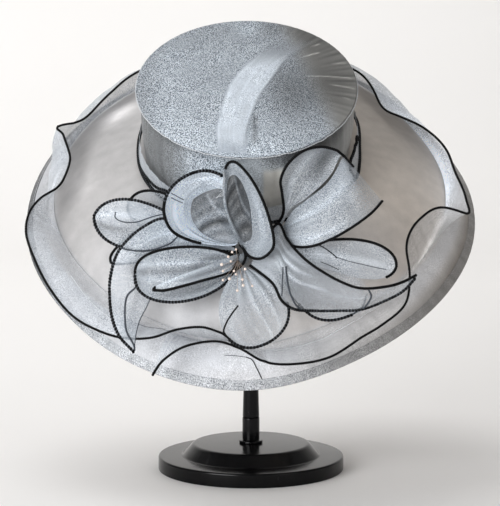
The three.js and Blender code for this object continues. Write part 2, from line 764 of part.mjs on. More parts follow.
const flower = new THREE.Group();
flower.position.set(FLOWER_PLACE.x, FLOWER_PLACE.y, FLOWER_PLACE.z);
flower.rotation.x = radians(FLOWER_PLACE.lean);
flower.add(piece('flower_core', flowerCore(), 'petalCloth'));
for (const [name, row] of Object.entries(PETALS)) {
  flower.add(piece(name, petal(row), 'petalCloth'));
}
for (const [name, rows] of Object.entries(LEAVES)) {
  flower.add(piece(name, leaf(rows), 'petalCloth'));
}
for (const [name, rows] of Object.entries(LOOPS)) {
  flower.add(piece(name, loop(rows), 'petalCloth'));
}

const object = new THREE.Group();
object.add(stand, hat, flower);

export default object;
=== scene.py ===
"""A formal summer hat of silver-grey organza, with its ribbon flower, on a plain black stand.

Lengths are in millimetres in each sub-assembly's own frame, and become metres in the meshes.
The hat's frame has its origin in the middle of the crown's base, z up through the crown, and
azimuths run from the front toward the right side as seen from the front.
"""

import logging
import math
from dataclasses import dataclass, field
from enum import Enum
from typing import Any, Callable, Sequence

import bpy
import numpy as np
from mathutils import Matrix, Vector


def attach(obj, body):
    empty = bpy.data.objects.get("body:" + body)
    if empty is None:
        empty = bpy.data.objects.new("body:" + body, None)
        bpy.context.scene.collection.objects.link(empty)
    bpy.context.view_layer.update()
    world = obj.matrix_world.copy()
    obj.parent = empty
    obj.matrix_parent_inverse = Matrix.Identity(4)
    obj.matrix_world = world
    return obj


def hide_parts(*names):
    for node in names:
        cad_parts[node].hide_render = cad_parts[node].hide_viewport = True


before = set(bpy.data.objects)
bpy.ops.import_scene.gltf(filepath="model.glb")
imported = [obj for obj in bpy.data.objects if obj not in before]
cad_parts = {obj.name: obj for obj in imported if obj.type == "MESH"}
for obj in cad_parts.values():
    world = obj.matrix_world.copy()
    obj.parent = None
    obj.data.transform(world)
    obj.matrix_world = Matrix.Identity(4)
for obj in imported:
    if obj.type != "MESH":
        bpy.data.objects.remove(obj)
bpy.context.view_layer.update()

log = logging.getLogger("summer_hat")
MM = 0.001
Array = np.ndarray


# Smooth tables

def smooth_rows(rows: Array, places: Array, closed: bool) -> Array:
    """Read rows of a table at fractional places, on a smooth curve through every row.

    Args:
        rows: one row for each section.
        places: fractional row numbers.
        closed: whether the last row leads on to the first.

    Returns:
        One row of values for each place.
    """
    rows = np.asarray(rows, float)
    places = np.asarray(places, float)
    count = len(rows)
    start = np.minimum(np.floor(places).astype(int), count - 1 if closed else count - 2)
    if closed:
        a, b, c, d = (rows[(start + k) % count] for k in (-1, 0, 1, 2))
    else:
        longer = np.vstack([2 * rows[:1] - rows[1:2], rows, 2 * rows[-1:] - rows[-2:-1]])
        a, b, c, d = (longer[start + k + 1] for k in (-1, 0, 1, 2))
    f = (places - start)[..., None]
    line = (c - a) * f
    square = (2 * a - 5 * b + 4 * c - d) * f**2
    cube = (3 * b - a - 3 * c + d) * f**3
    return 0.5 * (2 * b + line + square + cube)


def at_azimuth(rows: Array, azimuth: Array) -> Array:
    """Read a closed table whose first column is azimuth.

    Args:
        rows: one row for each azimuth, in rising order.
        azimuth: azimuths in degrees.

    Returns:
        One row of values for each azimuth.
    """
    rows = np.asarray(rows, float)
    turn = np.mod(azimuth, 360)
    k = np.searchsorted(rows[:, 0], turn, side="right") - 1
    span = np.mod(rows[(k + 1) % len(rows), 0] - rows[k, 0] + 360, 360)
    return smooth_rows(rows, k + (turn - rows[k, 0]) / span, True)


def spread(value: Array, centre: float, width: float) -> Array:
    """A soft bump of height 1 round a centre."""
    return np.exp(-(((value - centre) / width) ** 2))


def ramp(value: Array, low: float, high: float) -> Array:
    """A smooth step from 0 at low to 1 at high."""
    f = np.clip((value - low) / (high - low), 0, 1)
    return f * f * (3 - 2 * f)


def window(value: Array, rise: tuple[float, float], fall: tuple[float, float]) -> Array:
    """A soft step up over the first pair of values and down again over the second."""
    return ramp(value, *rise) * (1 - ramp(value, *fall))


def ripples(place: Array, counts: Sequence[float], phase: float = 0.0) -> Array:
    """Uneven ripples between -1 and 1, the sum of a few waves that share no common pitch."""
    waves = [np.sin(2 * math.pi * n * place + phase * (k + 1)) for k, n in enumerate(counts)]
    return sum(waves) / len(counts)


@dataclass(frozen=True)
class Place:
    """Where a sub-assembly's own frame stands, and how far it leans about the x axis."""

    x: float
    y: float
    z: float
    lean: float

    def world(self, points: Array) -> Array:
        """Points of this frame, in millimetres, as metres in the shared frame.

        Args:
            points: points in millimetres.

        Returns:
            The points in metres.
        """
        turn = math.radians(self.lean)
        x, y, z = points[..., 0], points[..., 1], points[..., 2]
        up = y * math.sin(turn) + z * math.cos(turn)
        back = y * math.cos(turn) - z * math.sin(turn)
        return np.stack([x + self.x, back + self.y, up + self.z], -1) * MM


HAT = Place(-3.5, 0, 266, 32)
FLOWER = Place(-5.5, -112, 191.5, 83.5)
GROUND = Place(0, 0, 0, 0)


# Meshes from grids of points

def grid_normals(grid: Array, closed: bool) -> Array:
    """Unit normals of a grid of points, closed or open along its rows.

    Args:
        grid: rows and columns of points.
        closed: whether the last row or point leads on to the first.

    Returns:
        A normal for each point.
    """
    if closed:
        way = np.roll(grid, -1, 0) - np.roll(grid, 1, 0)
    else:
        way = np.gradient(grid, axis=0)
    normal = np.cross(way, np.gradient(grid, axis=1))
    return normal / np.maximum(np.linalg.norm(normal, axis=-1, keepdims=True), 1e-9)


def lengths_along(grid: Array, axis: int) -> Array:
    """Mean distance travelled over a grid along one of its directions, from 0."""
    hops = np.linalg.norm(np.diff(grid, axis=axis), axis=-1).mean(axis=1 - axis)
    return np.concatenate([[0.0], np.cumsum(hops)])


def new_object(name: str, mesh: bpy.types.Mesh) -> bpy.types.Object:
    """Link a new object that shows a mesh.

    Args:
        name: its name.
        mesh: what it shows.

    Returns:
        The object.
    """
    made = bpy.data.objects.new(name, mesh)
    bpy.context.scene.collection.objects.link(made)
    return made


@dataclass
class Sheet:
    """A grid of points with its cloth values, ready to become a mesh.

    The grid is in millimetres in the frame of its place. Values are numbers, or grids of them,
    that the cloth's material reads as attributes of the mesh. The cut is the width and length of
    the flat piece, for shapes whose grid doesn't run the way that the cloth was cut.
    """

    name: str
    grid: Array
    place: Place
    closed: bool = False
    values: dict[str, Array | float] = field(default_factory=dict)
    cut: tuple[float, float] | None = None

    def pushed(self, amount: Array) -> "Sheet":
        """Move every point along the sheet's normal."""
        self.grid = self.grid + grid_normals(self.grid, self.closed) * amount[..., None]
        return self

    def along(self, path: Sequence[tuple[float, float]]) -> Array:
        """Points in metres along a path of places, each a share of the rows and of the columns.

        Args:
            path: the places to run through.

        Returns:
            The points of the line.
        """
        grid = self.place.world(self.grid)
        rows, columns = self.grid.shape[:2]
        last = rows if self.closed else rows - 1
        count = [max(2, int(last * max(abs(b[0] - a[0]), 0.5 * abs(b[1] - a[1]))))
                 for a, b in zip(path, path[1:])]
        steps = [np.linspace(k, k + 1, n, endpoint=False) for k, n in enumerate(count)]
        places = smooth_rows(path, np.append(np.concatenate(steps), len(path) - 1), False)
        i, j = places[:, 0] * last, np.clip(places[:, 1], 0, 1) * (columns - 1)
        i = i if self.closed else np.clip(i, 0, last)
        a, b = np.floor(i).astype(int), np.minimum(np.floor(j).astype(int), columns - 2)
        f, g = (i - a)[:, None], (j - b)[:, None]
        c = (a + 1) % rows if self.closed else np.minimum(a + 1, rows - 1)
        a = a % rows
        return ((1 - f) * ((1 - g) * grid[a, b] + g * grid[a, b + 1])
                + f * ((1 - g) * grid[c, b] + g * grid[c, b + 1]))

    def flat_size(self) -> tuple[tuple[float, float], float]:
        """Width and length of the cut in metres, and its area in square metres.

        Returns:
            The width and length, and an area no larger than their product.
        """
        grid = np.concatenate([self.grid, self.grid[:1]]) if self.closed else self.grid
        across = np.linalg.norm(np.diff(grid, axis=1), axis=-1).sum(1)
        along = np.linalg.norm(np.diff(grid, axis=0), axis=-1).sum(0)
        a, b = grid[1:, :-1] - grid[:-1, :-1], grid[:-1, 1:] - grid[:-1, :-1]
        c, d = grid[1:, :-1] - grid[1:, 1:], grid[:-1, 1:] - grid[1:, 1:]
        area = 0.5 * (np.linalg.norm(np.cross(a, b), axis=-1)
                      + np.linalg.norm(np.cross(c, d), axis=-1)).sum()
        width, length = self.cut or (across.max(), along.max())
        return (width * MM, length * MM), min(area, width * length) * MM * MM

    def to_object(self, thickness: float = 0.0) -> bpy.types.Object:
        """Make the mesh object.

        Args:
            thickness: wall in millimetres, or 0 for a single layer of sheer cloth.

        Returns:
            The object, at the origin, with its UV map in metres and its values as attributes.
        """
        rows, columns = self.grid.shape[:2]
        spans = rows if self.closed else rows - 1
        i, j = (k.ravel() for k in np.mgrid[0:spans, 0:columns - 1])
        after = (i + 1) % rows
        faces = np.stack([i * columns + j, after * columns + j,
                          after * columns + j + 1, i * columns + j + 1], 1)
        u = lengths_along(self.grid, 0)
        if self.closed:
            u = np.append(u, u[-1] + np.linalg.norm(self.grid[0] - self.grid[-1], axis=-1).mean())
        v = lengths_along(self.grid, 1)
        marks = np.stack([np.stack([u[i], v[j]], 1), np.stack([u[i + 1], v[j]], 1),
                          np.stack([u[i + 1], v[j + 1]], 1), np.stack([u[i], v[j + 1]], 1)], 1)
        points = self.grid.reshape(-1, 3)
        layers = 1
        if thickness:
            push = grid_normals(self.grid, self.closed).reshape(-1, 3) * thickness / 2
            points = np.concatenate([points + push, points - push])
            rim = self.rim_faces(rows, columns, spans)
            faces = np.concatenate([faces, faces[:, ::-1] + rows * columns, rim])
            rim_marks = np.repeat(marks[:1], len(rim), 0)
            marks = np.concatenate([marks, marks[:, ::-1], rim_marks])
            layers = 2
        mesh = bpy.data.meshes.new(self.name)
        mesh.from_pydata(self.place.world(points).tolist(), [], faces.tolist())
        uv = mesh.uv_layers.new(name="cloth")
        uv.data.foreach_set("uv", (marks.reshape(-1, 2) * MM).ravel())
        for name, value in self.values.items():
            flat = np.broadcast_to(value, (rows, columns)).ravel()
            layer = mesh.attributes.new(name, "FLOAT", "POINT")
            layer.data.foreach_set("value", np.tile(flat, layers))
        mesh.polygons.foreach_set("use_smooth", np.ones(len(mesh.polygons), bool))
        mesh.update()
        return new_object(self.name, mesh)

    def rim_faces(self, rows: int, columns: int, spans: int) -> Array:
        """Faces that close the wall between its two layers along the open edges.

        Args:
            rows: points along the sheet.
            columns: points across it.
            spans: faces along it.

        Returns:
            Four point numbers for each face.
        """
        back = rows * columns
        i = np.arange(spans)
        a, b = i * columns, (i + 1) % rows * columns
        found = [np.stack([a, a + back, b + back, b], 1)]
        a, b = a + columns - 1, b + columns - 1
        found.append(np.stack([b, b + back, a + back, a], 1))
        if not self.closed:
            j = np.arange(columns - 1)
            found.append(np.stack([j, j + 1, j + 1 + back, j + back], 1))
            j = j + (rows - 1) * columns
            found.append(np.stack([j + back, j + 1 + back, j + 1, j], 1))
        return np.concatenate(found)


# Shader and geometry node trees

def maths(operation: str, swapped: bool = False) -> Callable[["Wire", Any], "Wire"]:
    """A method of Wire that adds a Math node.

    Args:
        operation: the node's operation.
        swapped: whether the wire is the second operand, as in 1 - wire.

    Returns:
        The method.
    """
    def method(self: "Wire", value: Any) -> "Wire":
        """Add the node, on the wire and a value."""
        first, second = (value, self) if swapped else (self, value)
        return self.board.add("ShaderNodeMath", {"operation": operation}, {0: first, 1: second})
    return method


class Wire:
    """An output of a node tree, with arithmetic on its value."""

    __add__, __radd__ = maths("ADD"), maths("ADD", True)
    __sub__, __rsub__ = maths("SUBTRACT"), maths("SUBTRACT", True)
    __mul__, __rmul__ = maths("MULTIPLY"), maths("MULTIPLY", True)
    __gt__ = maths("GREATER_THAN")

    def __init__(self, board: "Board", socket: bpy.types.NodeSocket) -> None:
        """Wrap one output socket of a board's tree."""
        self.board = board
        self.socket = socket

    def other(self, name: str | int) -> "Wire":
        """Another output of the same node."""
        return Wire(self.board, self.socket.node.outputs[name])

    def clamped(self) -> "Wire":
        """The value held between 0 and 1."""
        return self.board.add("ShaderNodeClamp", None, {"Value": self})


class Board:
    """A node tree that grows by one method for every kind of node."""

    def __init__(self, tree: bpy.types.NodeTree) -> None:
        """Start from an empty tree."""
        self.tree = tree
        tree.nodes.clear()

    def add(self, kind: str, settings: dict[str, Any] | None = None,
            inputs: dict[str | int, Any] | None = None, output: str | int = 0) -> Wire:
        """Add a node, set it up, and feed its inputs.

        Args:
            kind: the node's type.
            settings: its properties.
            inputs: values or wires for its sockets, by name or number.
            output: which output to return.

        Returns:
            The chosen output.
        """
        node = self.tree.nodes.new(kind)
        for name, value in (settings or {}).items():
            setattr(node, name, value)
        for key, value in (inputs or {}).items():
            if isinstance(value, Wire):
                self.tree.links.new(value.socket, node.inputs[key])
            else:
                node.inputs[key].default_value = value
        return Wire(self, node.outputs[output] if node.outputs else node.inputs[0])

    def mix(self, share: Any, first: Any, second: Any) -> Wire:
        """Blend two colours."""
        return self.add("ShaderNodeMix", {"data_type": "RGBA"}, {0: share, 6: first, 7: second}, 2)

    def dim(self, colour: Any, share: Any) -> Wire:
        """Scale a colour by a number.

        Args:
            colour: the colour.
            share: what it is multiplied by.

        Returns:
            The scaled colour.
        """
        grey = self.add("ShaderNodeCombineColor", None, {0: share, 1: share, 2: share})
        return self.add("ShaderNodeMix", {"data_type": "RGBA", "blend_type": "MULTIPLY"},
                        {0: 1.0, 6: colour, 7: grey}, 2)

    def value_of(self, name: str) -> Wire:
        """The mesh's own attribute of that name."""
        return self.add("ShaderNodeAttribute", {"attribute_name": name}, None, "Fac")

    def noise(self, scale: float, detail: float = 1.0, where: Wire | None = None) -> Wire:
        """Noise between 0 and 1, with scale in features a metre, on the object's coordinates.

        Args:
            scale: features a metre.
            detail: octaves.
            where: coordinates, or None for the object's own.

        Returns:
            The noise.
        """
        where = where or self.add("ShaderNodeTexCoord", None, None, "Object")
        return self.add("ShaderNodeTexNoise", None,
                        {"Vector": where, "Scale": scale, "Detail": detail}, "Fac")


def linear(red: int, green: int, blue: int) -> tuple[float, float, float, float]:
    """A colour given as it looks on a screen, as the linear values that a shader takes.

    Args:
        red: 0 to 255.
        green: 0 to 255.
        blue: 0 to 255.

    Returns:
        Red, green and blue, and an alpha of 1.
    """
    def one(value: int) -> float:
        """One channel."""
        share = value / 255
        return share / 12.92 if share <= 0.04045 else ((share + 0.055) / 1.055) ** 2.4
    return (one(red), one(green), one(blue), 1.0)


class Finish:
    """A material made of nodes. Each kind of finish fills in its own shader."""

    def material(self, name: str) -> bpy.types.Material:
        """Make the material.

        Args:
            name: the finish's name.

        Returns:
            A node material with one Principled shader.
        """
        made = bpy.data.materials.new(name)
        made.use_nodes = True
        board = Board(made.node_tree)
        shader = board.add("ShaderNodeBsdfPrincipled", None, self.surface(board))
        board.add("ShaderNodeOutputMaterial", None, {"Surface": shader})
        return made

    def surface(self, board: Board) -> dict[str, Any]:
        """Values and wires for the Principled shader's sockets."""
        raise NotImplementedError


@dataclass(frozen=True)
class Organza(Finish):
    """Shiny woven gauze: cool threads with painted glints, a warmer matt ground, and see-through
    gaps.
    """

    dark: tuple[int, int, int]
    light: tuple[int, int, int]
    warm: tuple[int, int, int]
    sheer: bool = True
    streaks: float = 1.0
    grain: float = 1500.0
    contrast: float = 4.6
    sheen: float = 0.2
    # colour, size and share of the painted glints
    spark: tuple[int, int, int] = (250, 252, 255)
    spark_scale: float = 1050.0
    spark_from: float = 0.66
    patch_scale: float = 38.0
    mottle_scales: tuple[float, float] = (120.0, 30.0)
    crumple_scale: float = 75.0
    streak_scale: float = 330.0
    streak_stretch: tuple[float, float, float] = (0.09, 1.0, 1.0)
    bump_strength: float = 0.55
    bump_depth: float = 0.0012

    def surface(self, board: Board) -> dict[str, Any]:
        """Glitter, warmth and tone come from the mesh's own values.

        Args:
            board: the tree to build in.

        Returns:
            Values and wires for the shader's sockets.
        """
        where = board.add("ShaderNodeTexCoord", None, None, "Object")
        glitter = board.value_of("glitter")
        grain = board.noise(self.grain, 0.5, where)
        patches = ((board.noise(self.patch_scale, 3.0, where) - 0.5) * 4.0 + 0.5).clamped()
        lively = glitter * (0.3 + 1.0 * patches)
        share = ((grain - 0.5) * self.contrast * lively + 0.5).clamped()
        cloth = board.mix(share, linear(*self.dark), linear(*self.light))
        # painted glints: white points mixed into the base colour
        cloth = board.mix(self.painted_glints(board, where) * lively, cloth, linear(*self.spark))
        ground = board.dim(linear(*self.warm), 0.94 + 0.12 * grain)
        cloth = board.mix(board.value_of("warmth"), cloth, ground)
        fine, coarse = (board.noise(scale, 2.0, where) for scale in self.mottle_scales)
        mottle = 0.78 + 0.24 * fine + 0.2 * coarse
        streak = self.streak(board)
        # the mesh's tone is the cloth's own tone with painted light and shade in it
        tone = board.value_of("tone") * mottle * (1 + (streak - 0.5) * 0.5 * self.streaks)
        crumple = (board.noise(self.crumple_scale, 2.0, where) * 0.6
                   + streak * 0.5 * self.streaks + grain * 0.04)
        bump = board.add("ShaderNodeBump", None,
                         {"Strength": self.bump_strength, "Distance": self.bump_depth,
                          "Height": crumple})
        found = {"Base Color": board.dim(cloth, tone), "Normal": bump,
                 "Roughness": 0.62 - 0.3 * share * glitter,
                 "Specular IOR Level": 0.4, "Sheen Weight": self.sheen, "Sheen Roughness": 0.4}
        if self.sheer:
            found["Alpha"] = (board.value_of("cover") + (grain - 0.5) * 0.35 * lively).clamped()
        return found

    def painted_glints(self, board: Board, where: Wire) -> Wire:
        """Painted glints: scattered white points in the base colour, where threads would catch the
        light.

        Args:
            board: the tree to build in.
            where: coordinates.

        Returns:
            A mask of the painted glints.
        """
        cells = board.add("ShaderNodeTexVoronoi", None,
                          {"Vector": where, "Scale": self.spark_scale}, "Distance")
        chosen = cells.other("Color") > self.spark_from
        return (1.15 - cells * 2.6).clamped() * chosen * 0.7

    def streak(self, board: Board) -> Wire:
        """Fine silky streaks that run along the cut of the cloth.

        Args:
            board: the tree to build in.

        Returns:
            Noise that is drawn out along the cloth.
        """
        flat = board.add("ShaderNodeUVMap", {"uv_map": "cloth"})
        drawn = board.add("ShaderNodeVectorMath", {"operation": "MULTIPLY"},
                          {0: flat, 1: self.streak_stretch})
        return board.noise(self.streak_scale, 2.0, drawn)


@dataclass(frozen=True)
class Thread(Finish):
    """Spun thread of one colour."""

    colour: tuple[int, int, int]
    roughness: float = 0.6
    patchy: float = 0.0

    def surface(self, board: Board) -> dict[str, Any]:
        """A dark or pale thread with a fine twist in its brightness.

        Args:
            board: the tree to build in.

        Returns:
            Values and wires for the shader's sockets.
        """
        twist = board.noise(2600, 1.0)
        worn = 1 - self.patchy * ((board.noise(170, 1.0) - 0.4) * 4.0).clamped()
        colour = board.dim(linear(*self.colour), (0.75 + 0.5 * twist) * worn)
        bump = board.add("ShaderNodeBump", None,
                         {"Strength": 0.4, "Distance": 0.0002, "Height": twist})
        return {"Base Color": colour, "Normal": bump, "Roughness": self.roughness + 0.2 * twist,
                "Specular IOR Level": 0.16}


@dataclass(frozen=True)
class GlossPlastic(Finish):
    """Moulded black plastic, glossy, with faint handling marks."""

    colour: tuple[int, int, int] = (4, 4, 5)

    def surface(self, board: Board) -> dict[str, Any]:
        """Gloss that is a little worn in patches.

        Args:
            board: the tree to build in.

        Returns:
            Values and wires for the shader's sockets.
        """
        marks = board.noise(14, 4.0)
        dust = board.noise(420, 2.0)
        colour = board.mix((dust - 0.62) * 1.5, linear(*self.colour), linear(44, 45, 47))
        bump = board.add("ShaderNodeBump", None,
                         {"Strength": 0.06, "Distance": 0.0006, "Height": marks})
        return {"Base Color": colour, "Normal": bump, "Roughness": 0.12 + 0.16 * marks,
                "Specular IOR Level": 0.16, "Coat Weight": 0.03, "Coat Roughness": 0.06}


@dataclass(frozen=True)
class PearlCoat(Finish):
    """Small champagne pearls."""

    colour: tuple[int, int, int] = (226, 204, 190)

    def surface(self, board: Board) -> dict[str, Any]:
        """A soft lustre under a clear coat.

        Args:
            board: the tree to build in.

        Returns:
            Values and wires for the shader's sockets.
        """
        cloud = board.noise(500, 1.0)
        colour = board.mix(cloud, linear(*self.colour), linear(240, 228, 218))
        return {"Base Color": colour, "Roughness": 0.2 + 0.12 * cloud, "Coat Weight": 0.6,
                "Coat Roughness": 0.08, "Sheen Weight": 0.1}


@dataclass(frozen=True)
class StudioPaper(Finish):
    """The plain pale floor and its rising back."""

    colour: tuple[int, int, int] = (246, 244, 242)

    def surface(self, board: Board) -> dict[str, Any]:
        """Nearly even, matt and pale.

        Args:
            board: the tree to build in.

        Returns:
            Values and wires for the shader's sockets.
        """
        cloud = board.noise(1.5, 2.0)
        colour = board.mix(cloud, linear(*self.colour), linear(240, 238, 236))
        return {"Base Color": colour, "Roughness": 0.7, "Specular IOR Level": 0.2}


class Cloth(Enum):
    """The finishes of the object, with the record's slot that each one belongs to."""

    CROWN = "crown_cloth"
    BRIM = "brim_cloth"
    HEM = "hem_cloth"
    RUFFLE = "ruffle_cloth"
    PETAL = "petal_cloth"
    CORD = "edge_cord"
    PLASTIC = "black_plastic"


class Wardrobe:
    """Every material, made once."""

    def __init__(self) -> None:
        """Make the materials."""
        self.by_slot = {
            Cloth.CROWN: Organza((62, 77, 92), (204, 213, 222), (176, 174, 168), False, 0.0,
                                 grain=1250, contrast=8.5),
            Cloth.BRIM: Organza((158, 163, 170), (202, 206, 213), (188, 179, 170), False, 0.0,
                                contrast=3.0),
            Cloth.HEM: Organza((104, 110, 118), (214, 218, 223), (182, 176, 170), False, 0.4,
                               contrast=7.0),
            Cloth.RUFFLE: Organza((150, 158, 168), (226, 231, 238), (190, 184, 178), True, 0.6),
            Cloth.PETAL: Organza((118, 132, 148), (230, 237, 244), (184, 182, 181), contrast=3.0),
            Cloth.CORD: Thread((7, 7, 8)),
            Cloth.PLASTIC: GlossPlastic(),
        }
        self.materials = {cloth: finish.material(cloth.value)
                          for cloth, finish in self.by_slot.items()}
        self.fleck = Thread((78, 82, 88), patchy=0.9).material("cloth_between_stitches")
        self.veil = Thread((74, 79, 86)).material("cord_under_cloth")
        self.stitch = Thread((206, 209, 213)).material("pale_thread")
        self.pearl = PearlCoat().material("pearl")
        self.wire = Thread((176, 160, 148), 0.4).material("stamen_wire")
        self.paper = StudioPaper().material("studio_paper")


class Atelier:
    """Puts finished pieces on the frame and reports them."""

    def __init__(self, wardrobe: Wardrobe) -> None:
        """Keep the materials at hand."""
        self.wardrobe = wardrobe

    def place(self, piece: bpy.types.Object, cloth: Cloth, *nodes: str,
              dress: bool = True) -> bpy.types.Object:
        """Give a piece its finish and its place on the body.

        Args:
            piece: the finished mesh object.
            cloth: its finish.
            nodes: the CAD nodes that it stands for.
            dress: whether it takes the finish's material, or already has its own.

        Returns:
            The same object.
        """
        if dress:
            piece.data.materials.clear()
            piece.data.materials.append(self.wardrobe.materials[cloth])
        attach(piece, "root")
        if nodes:
            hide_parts(*nodes)
        log.info("%s: %d faces", piece.name, len(piece.data.polygons))
        return piece

    def sheet(self, sheet: Sheet, cloth: Cloth, *nodes: str, held: str,
              rests_on: Sequence[str], wall: float = 0.0) -> bpy.types.Object:
        """Make a sheet of cloth and place it.

        Args:
            sheet: the shaped sheet.
            cloth: its finish.
            nodes: the CAD nodes that it stands for.
            rests_on: what it lies on or is sewn to; not used.
            wall: thickness in millimetres, or 0 for one layer.

        Returns:
            The object.
        """
        flat, area = sheet.flat_size()
        piece = self.place(sheet.to_object(wall), cloth, *nodes)
        return piece


# What repeats along a line or over points

class Pattern:
    """A Geometry Nodes tree with named inputs, used once for each guide mesh."""

    name = "pattern"
    sizes: dict[str, str] = {}

    def __init__(self) -> None:
        """Build the tree."""
        self.tree = bpy.data.node_groups.new(self.name, "GeometryNodeTree")
        self.board = Board(self.tree)
        self.tree.interface.new_socket("Guide", in_out="INPUT", socket_type="NodeSocketGeometry")
        for name, kind in self.sizes.items():
            self.tree.interface.new_socket(name, in_out="INPUT", socket_type=kind)
        self.tree.interface.new_socket("Result", in_out="OUTPUT", socket_type="NodeSocketGeometry")
        self.given = self.board.add("NodeGroupInput")
        self.board.add("NodeGroupOutput", None, {0: self.grow()})

    def grow(self) -> Wire:
        """Build the nodes between the guide and the result."""
        raise NotImplementedError

    def tube(self, curve: Wire, radius: Any, sides: int) -> Wire:
        """A round tube along a curve.

        Args:
            curve: its middle line.
            radius: its radius.
            sides: points round it.

        Returns:
            The tube's mesh.
        """
        ring = self.board.add("GeometryNodeCurvePrimitiveCircle", {"mode": "RADIUS"},
                              {"Resolution": sides, "Radius": radius})
        return self.board.add("GeometryNodeCurveToMesh", None,
                              {"Curve": curve, "Profile Curve": ring, "Fill Caps": True})

    def guide_curve(self) -> Wire:
        """The guide's edges as a curve."""
        return self.board.add("GeometryNodeMeshToCurve", None,
                              {"Mesh": self.given.other("Guide")})

    def turned_along(self, axis: str) -> Wire:
        """A rotation that lays an axis along the curve.

        Args:
            axis: X, Y or Z.

        Returns:
            The rotation.
        """
        way = self.board.add("GeometryNodeInputTangent")
        return self.board.add("FunctionNodeAlignRotationToVector", {"axis": axis},
                              {"Vector": way})

    def every(self, curve: Wire, pitch: Any) -> Wire:
        """The curve with its points an even distance apart."""
        return self.board.add("GeometryNodeResampleCurve", {"mode": "LENGTH"},
                              {"Curve": curve, "Length": pitch})

    def finished(self, parts: Wire, material: Wire, second: Wire, mark: str) -> Wire:
        """Realise the instances and set both materials, the second one on marked faces.

        Args:
            parts: geometry with instances.
            material: for faces without the mark.
            second: for faces with it.
            mark: the mark's name.

        Returns:
            The plain geometry.
        """
        whole = self.board.add("GeometryNodeRealizeInstances", None, {0: parts})
        smooth = self.board.add("GeometryNodeSetShadeSmooth", None, {0: whole})
        first = self.board.add("GeometryNodeSetMaterial", None,
                               {"Geometry": smooth, "Material": material})
        marked = self.board.add("GeometryNodeInputNamedAttribute", {"data_type": "BOOLEAN"},
                                {"Name": mark})
        return self.board.add("GeometryNodeSetMaterial", None,
                              {"Geometry": first, "Selection": marked, "Material": second})

    def marked(self, mesh: Wire, mark: str) -> Wire:
        """Mark every face of a mesh.

        Args:
            mesh: the mesh.
            mark: the mark's name.

        Returns:
            The marked mesh.
        """
        return self.board.add("GeometryNodeStoreNamedAttribute",
                              {"data_type": "BOOLEAN", "domain": "FACE"},
                              {"Geometry": mesh, "Name": mark, "Value": True})

    def joined(self, *parts: Wire) -> Wire:
        """All the parts in one geometry.

        Args:
            parts: geometries.

        Returns:
            The joined geometry.
        """
        node = self.tree.nodes.new("GeometryNodeJoinGeometry")
        for part in parts:
            self.tree.links.new(part.socket, node.inputs[0])
        return Wire(self.board, node.outputs[0])

    def use(self, name: str, guide: bpy.types.Mesh, values: dict[str, Any]) -> bpy.types.Object:
        """Run the tree on a guide mesh.

        Args:
            name: the finished piece's name.
            guide: the mesh whose edges or points the pattern follows.
            values: a value for each named input.

        Returns:
            A plain mesh object.
        """
        stand_in = new_object(name + ".guide", guide)
        modifier = stand_in.modifiers.new("pattern", "NODES")
        modifier.node_group = self.tree
        for item in self.tree.interface.items_tree:
            if item.in_out == "INPUT" and item.name in values:
                modifier[item.identifier] = values[item.name]
        found = stand_in.evaluated_get(bpy.context.evaluated_depsgraph_get())
        mesh = bpy.data.meshes.new_from_object(found)
        stand_in.modifiers.clear()
        bpy.data.objects.remove(stand_in)
        mesh.name = name
        return new_object(name, mesh)


def line_mesh(name: str, lines: Sequence[Array], closed: bool = False) -> bpy.types.Mesh:
    """A mesh of bare edges along lines of points in metres.

    Args:
        name: the mesh's name.
        lines: lines of points.
        closed: whether the last row or point leads on to the first.

    Returns:
        The mesh.
    """
    points: list = []
    edges: list = []
    for line in lines:
        start = len(points)
        points += line.tolist()
        edges += [(k, k + 1) for k in range(start, len(points) - 1)]
        if closed:
            edges.append((len(points) - 1, start))
    mesh = bpy.data.meshes.new(name)
    mesh.from_pydata(points, edges, [])
    return mesh


class OverlockedCord(Pattern):
    """A cord with thread wrapped round it: a core tube and one slanted ring for each stitch."""

    name = "overlocked_cord"
    sizes = {"Core Radius": "NodeSocketFloat", "Wrap Radius": "NodeSocketFloat",
             "Wrap Thickness": "NodeSocketFloat", "Wrap Stretch": "NodeSocketFloat",
             "Pitch": "NodeSocketFloat", "Slant": "NodeSocketFloat",
             "Core": "NodeSocketMaterial", "Thread": "NodeSocketMaterial"}
    core_step = 0.0012

    def grow(self) -> Wire:
        """Core tube, rings on evenly spaced points, turned to the line and slanted.

        Returns:
            The finished geometry.
        """
        board, given = self.board, self.given
        curve = self.guide_curve()
        core = self.tube(self.every(curve, self.core_step), given.other("Core Radius"), 6)
        points = self.every(curve, given.other("Pitch"))
        ring = board.add("GeometryNodeCurvePrimitiveCircle", {"mode": "RADIUS"},
                         {"Resolution": 7, "Radius": given.other("Wrap Radius")})
        strand = board.add("GeometryNodeCurvePrimitiveCircle", {"mode": "RADIUS"},
                           {"Resolution": 4, "Radius": given.other("Wrap Thickness")})
        wrap = board.add("GeometryNodeCurveToMesh", None, {"Curve": ring, "Profile Curve": strand})
        turned = self.turned_along("Z")
        lean = board.add("ShaderNodeCombineXYZ", None, {"X": given.other("Slant")})
        leant = board.add("FunctionNodeEulerToRotation", None, {0: lean})
        slanted = board.add("FunctionNodeRotateRotation", {"rotation_space": "LOCAL"},
                            {0: turned, 1: leant})
        size = board.add("ShaderNodeCombineXYZ", None,
                         {"X": 1.0, "Y": 1.0, "Z": given.other("Wrap Stretch")})
        wraps = board.add("GeometryNodeInstanceOnPoints", None,
                          {"Points": points, "Instance": self.marked(wrap, "thread"),
                           "Rotation": slanted, "Scale": size})
        return self.finished(self.joined(core, wraps), given.other("Core"),
                             given.other("Thread"), "thread")


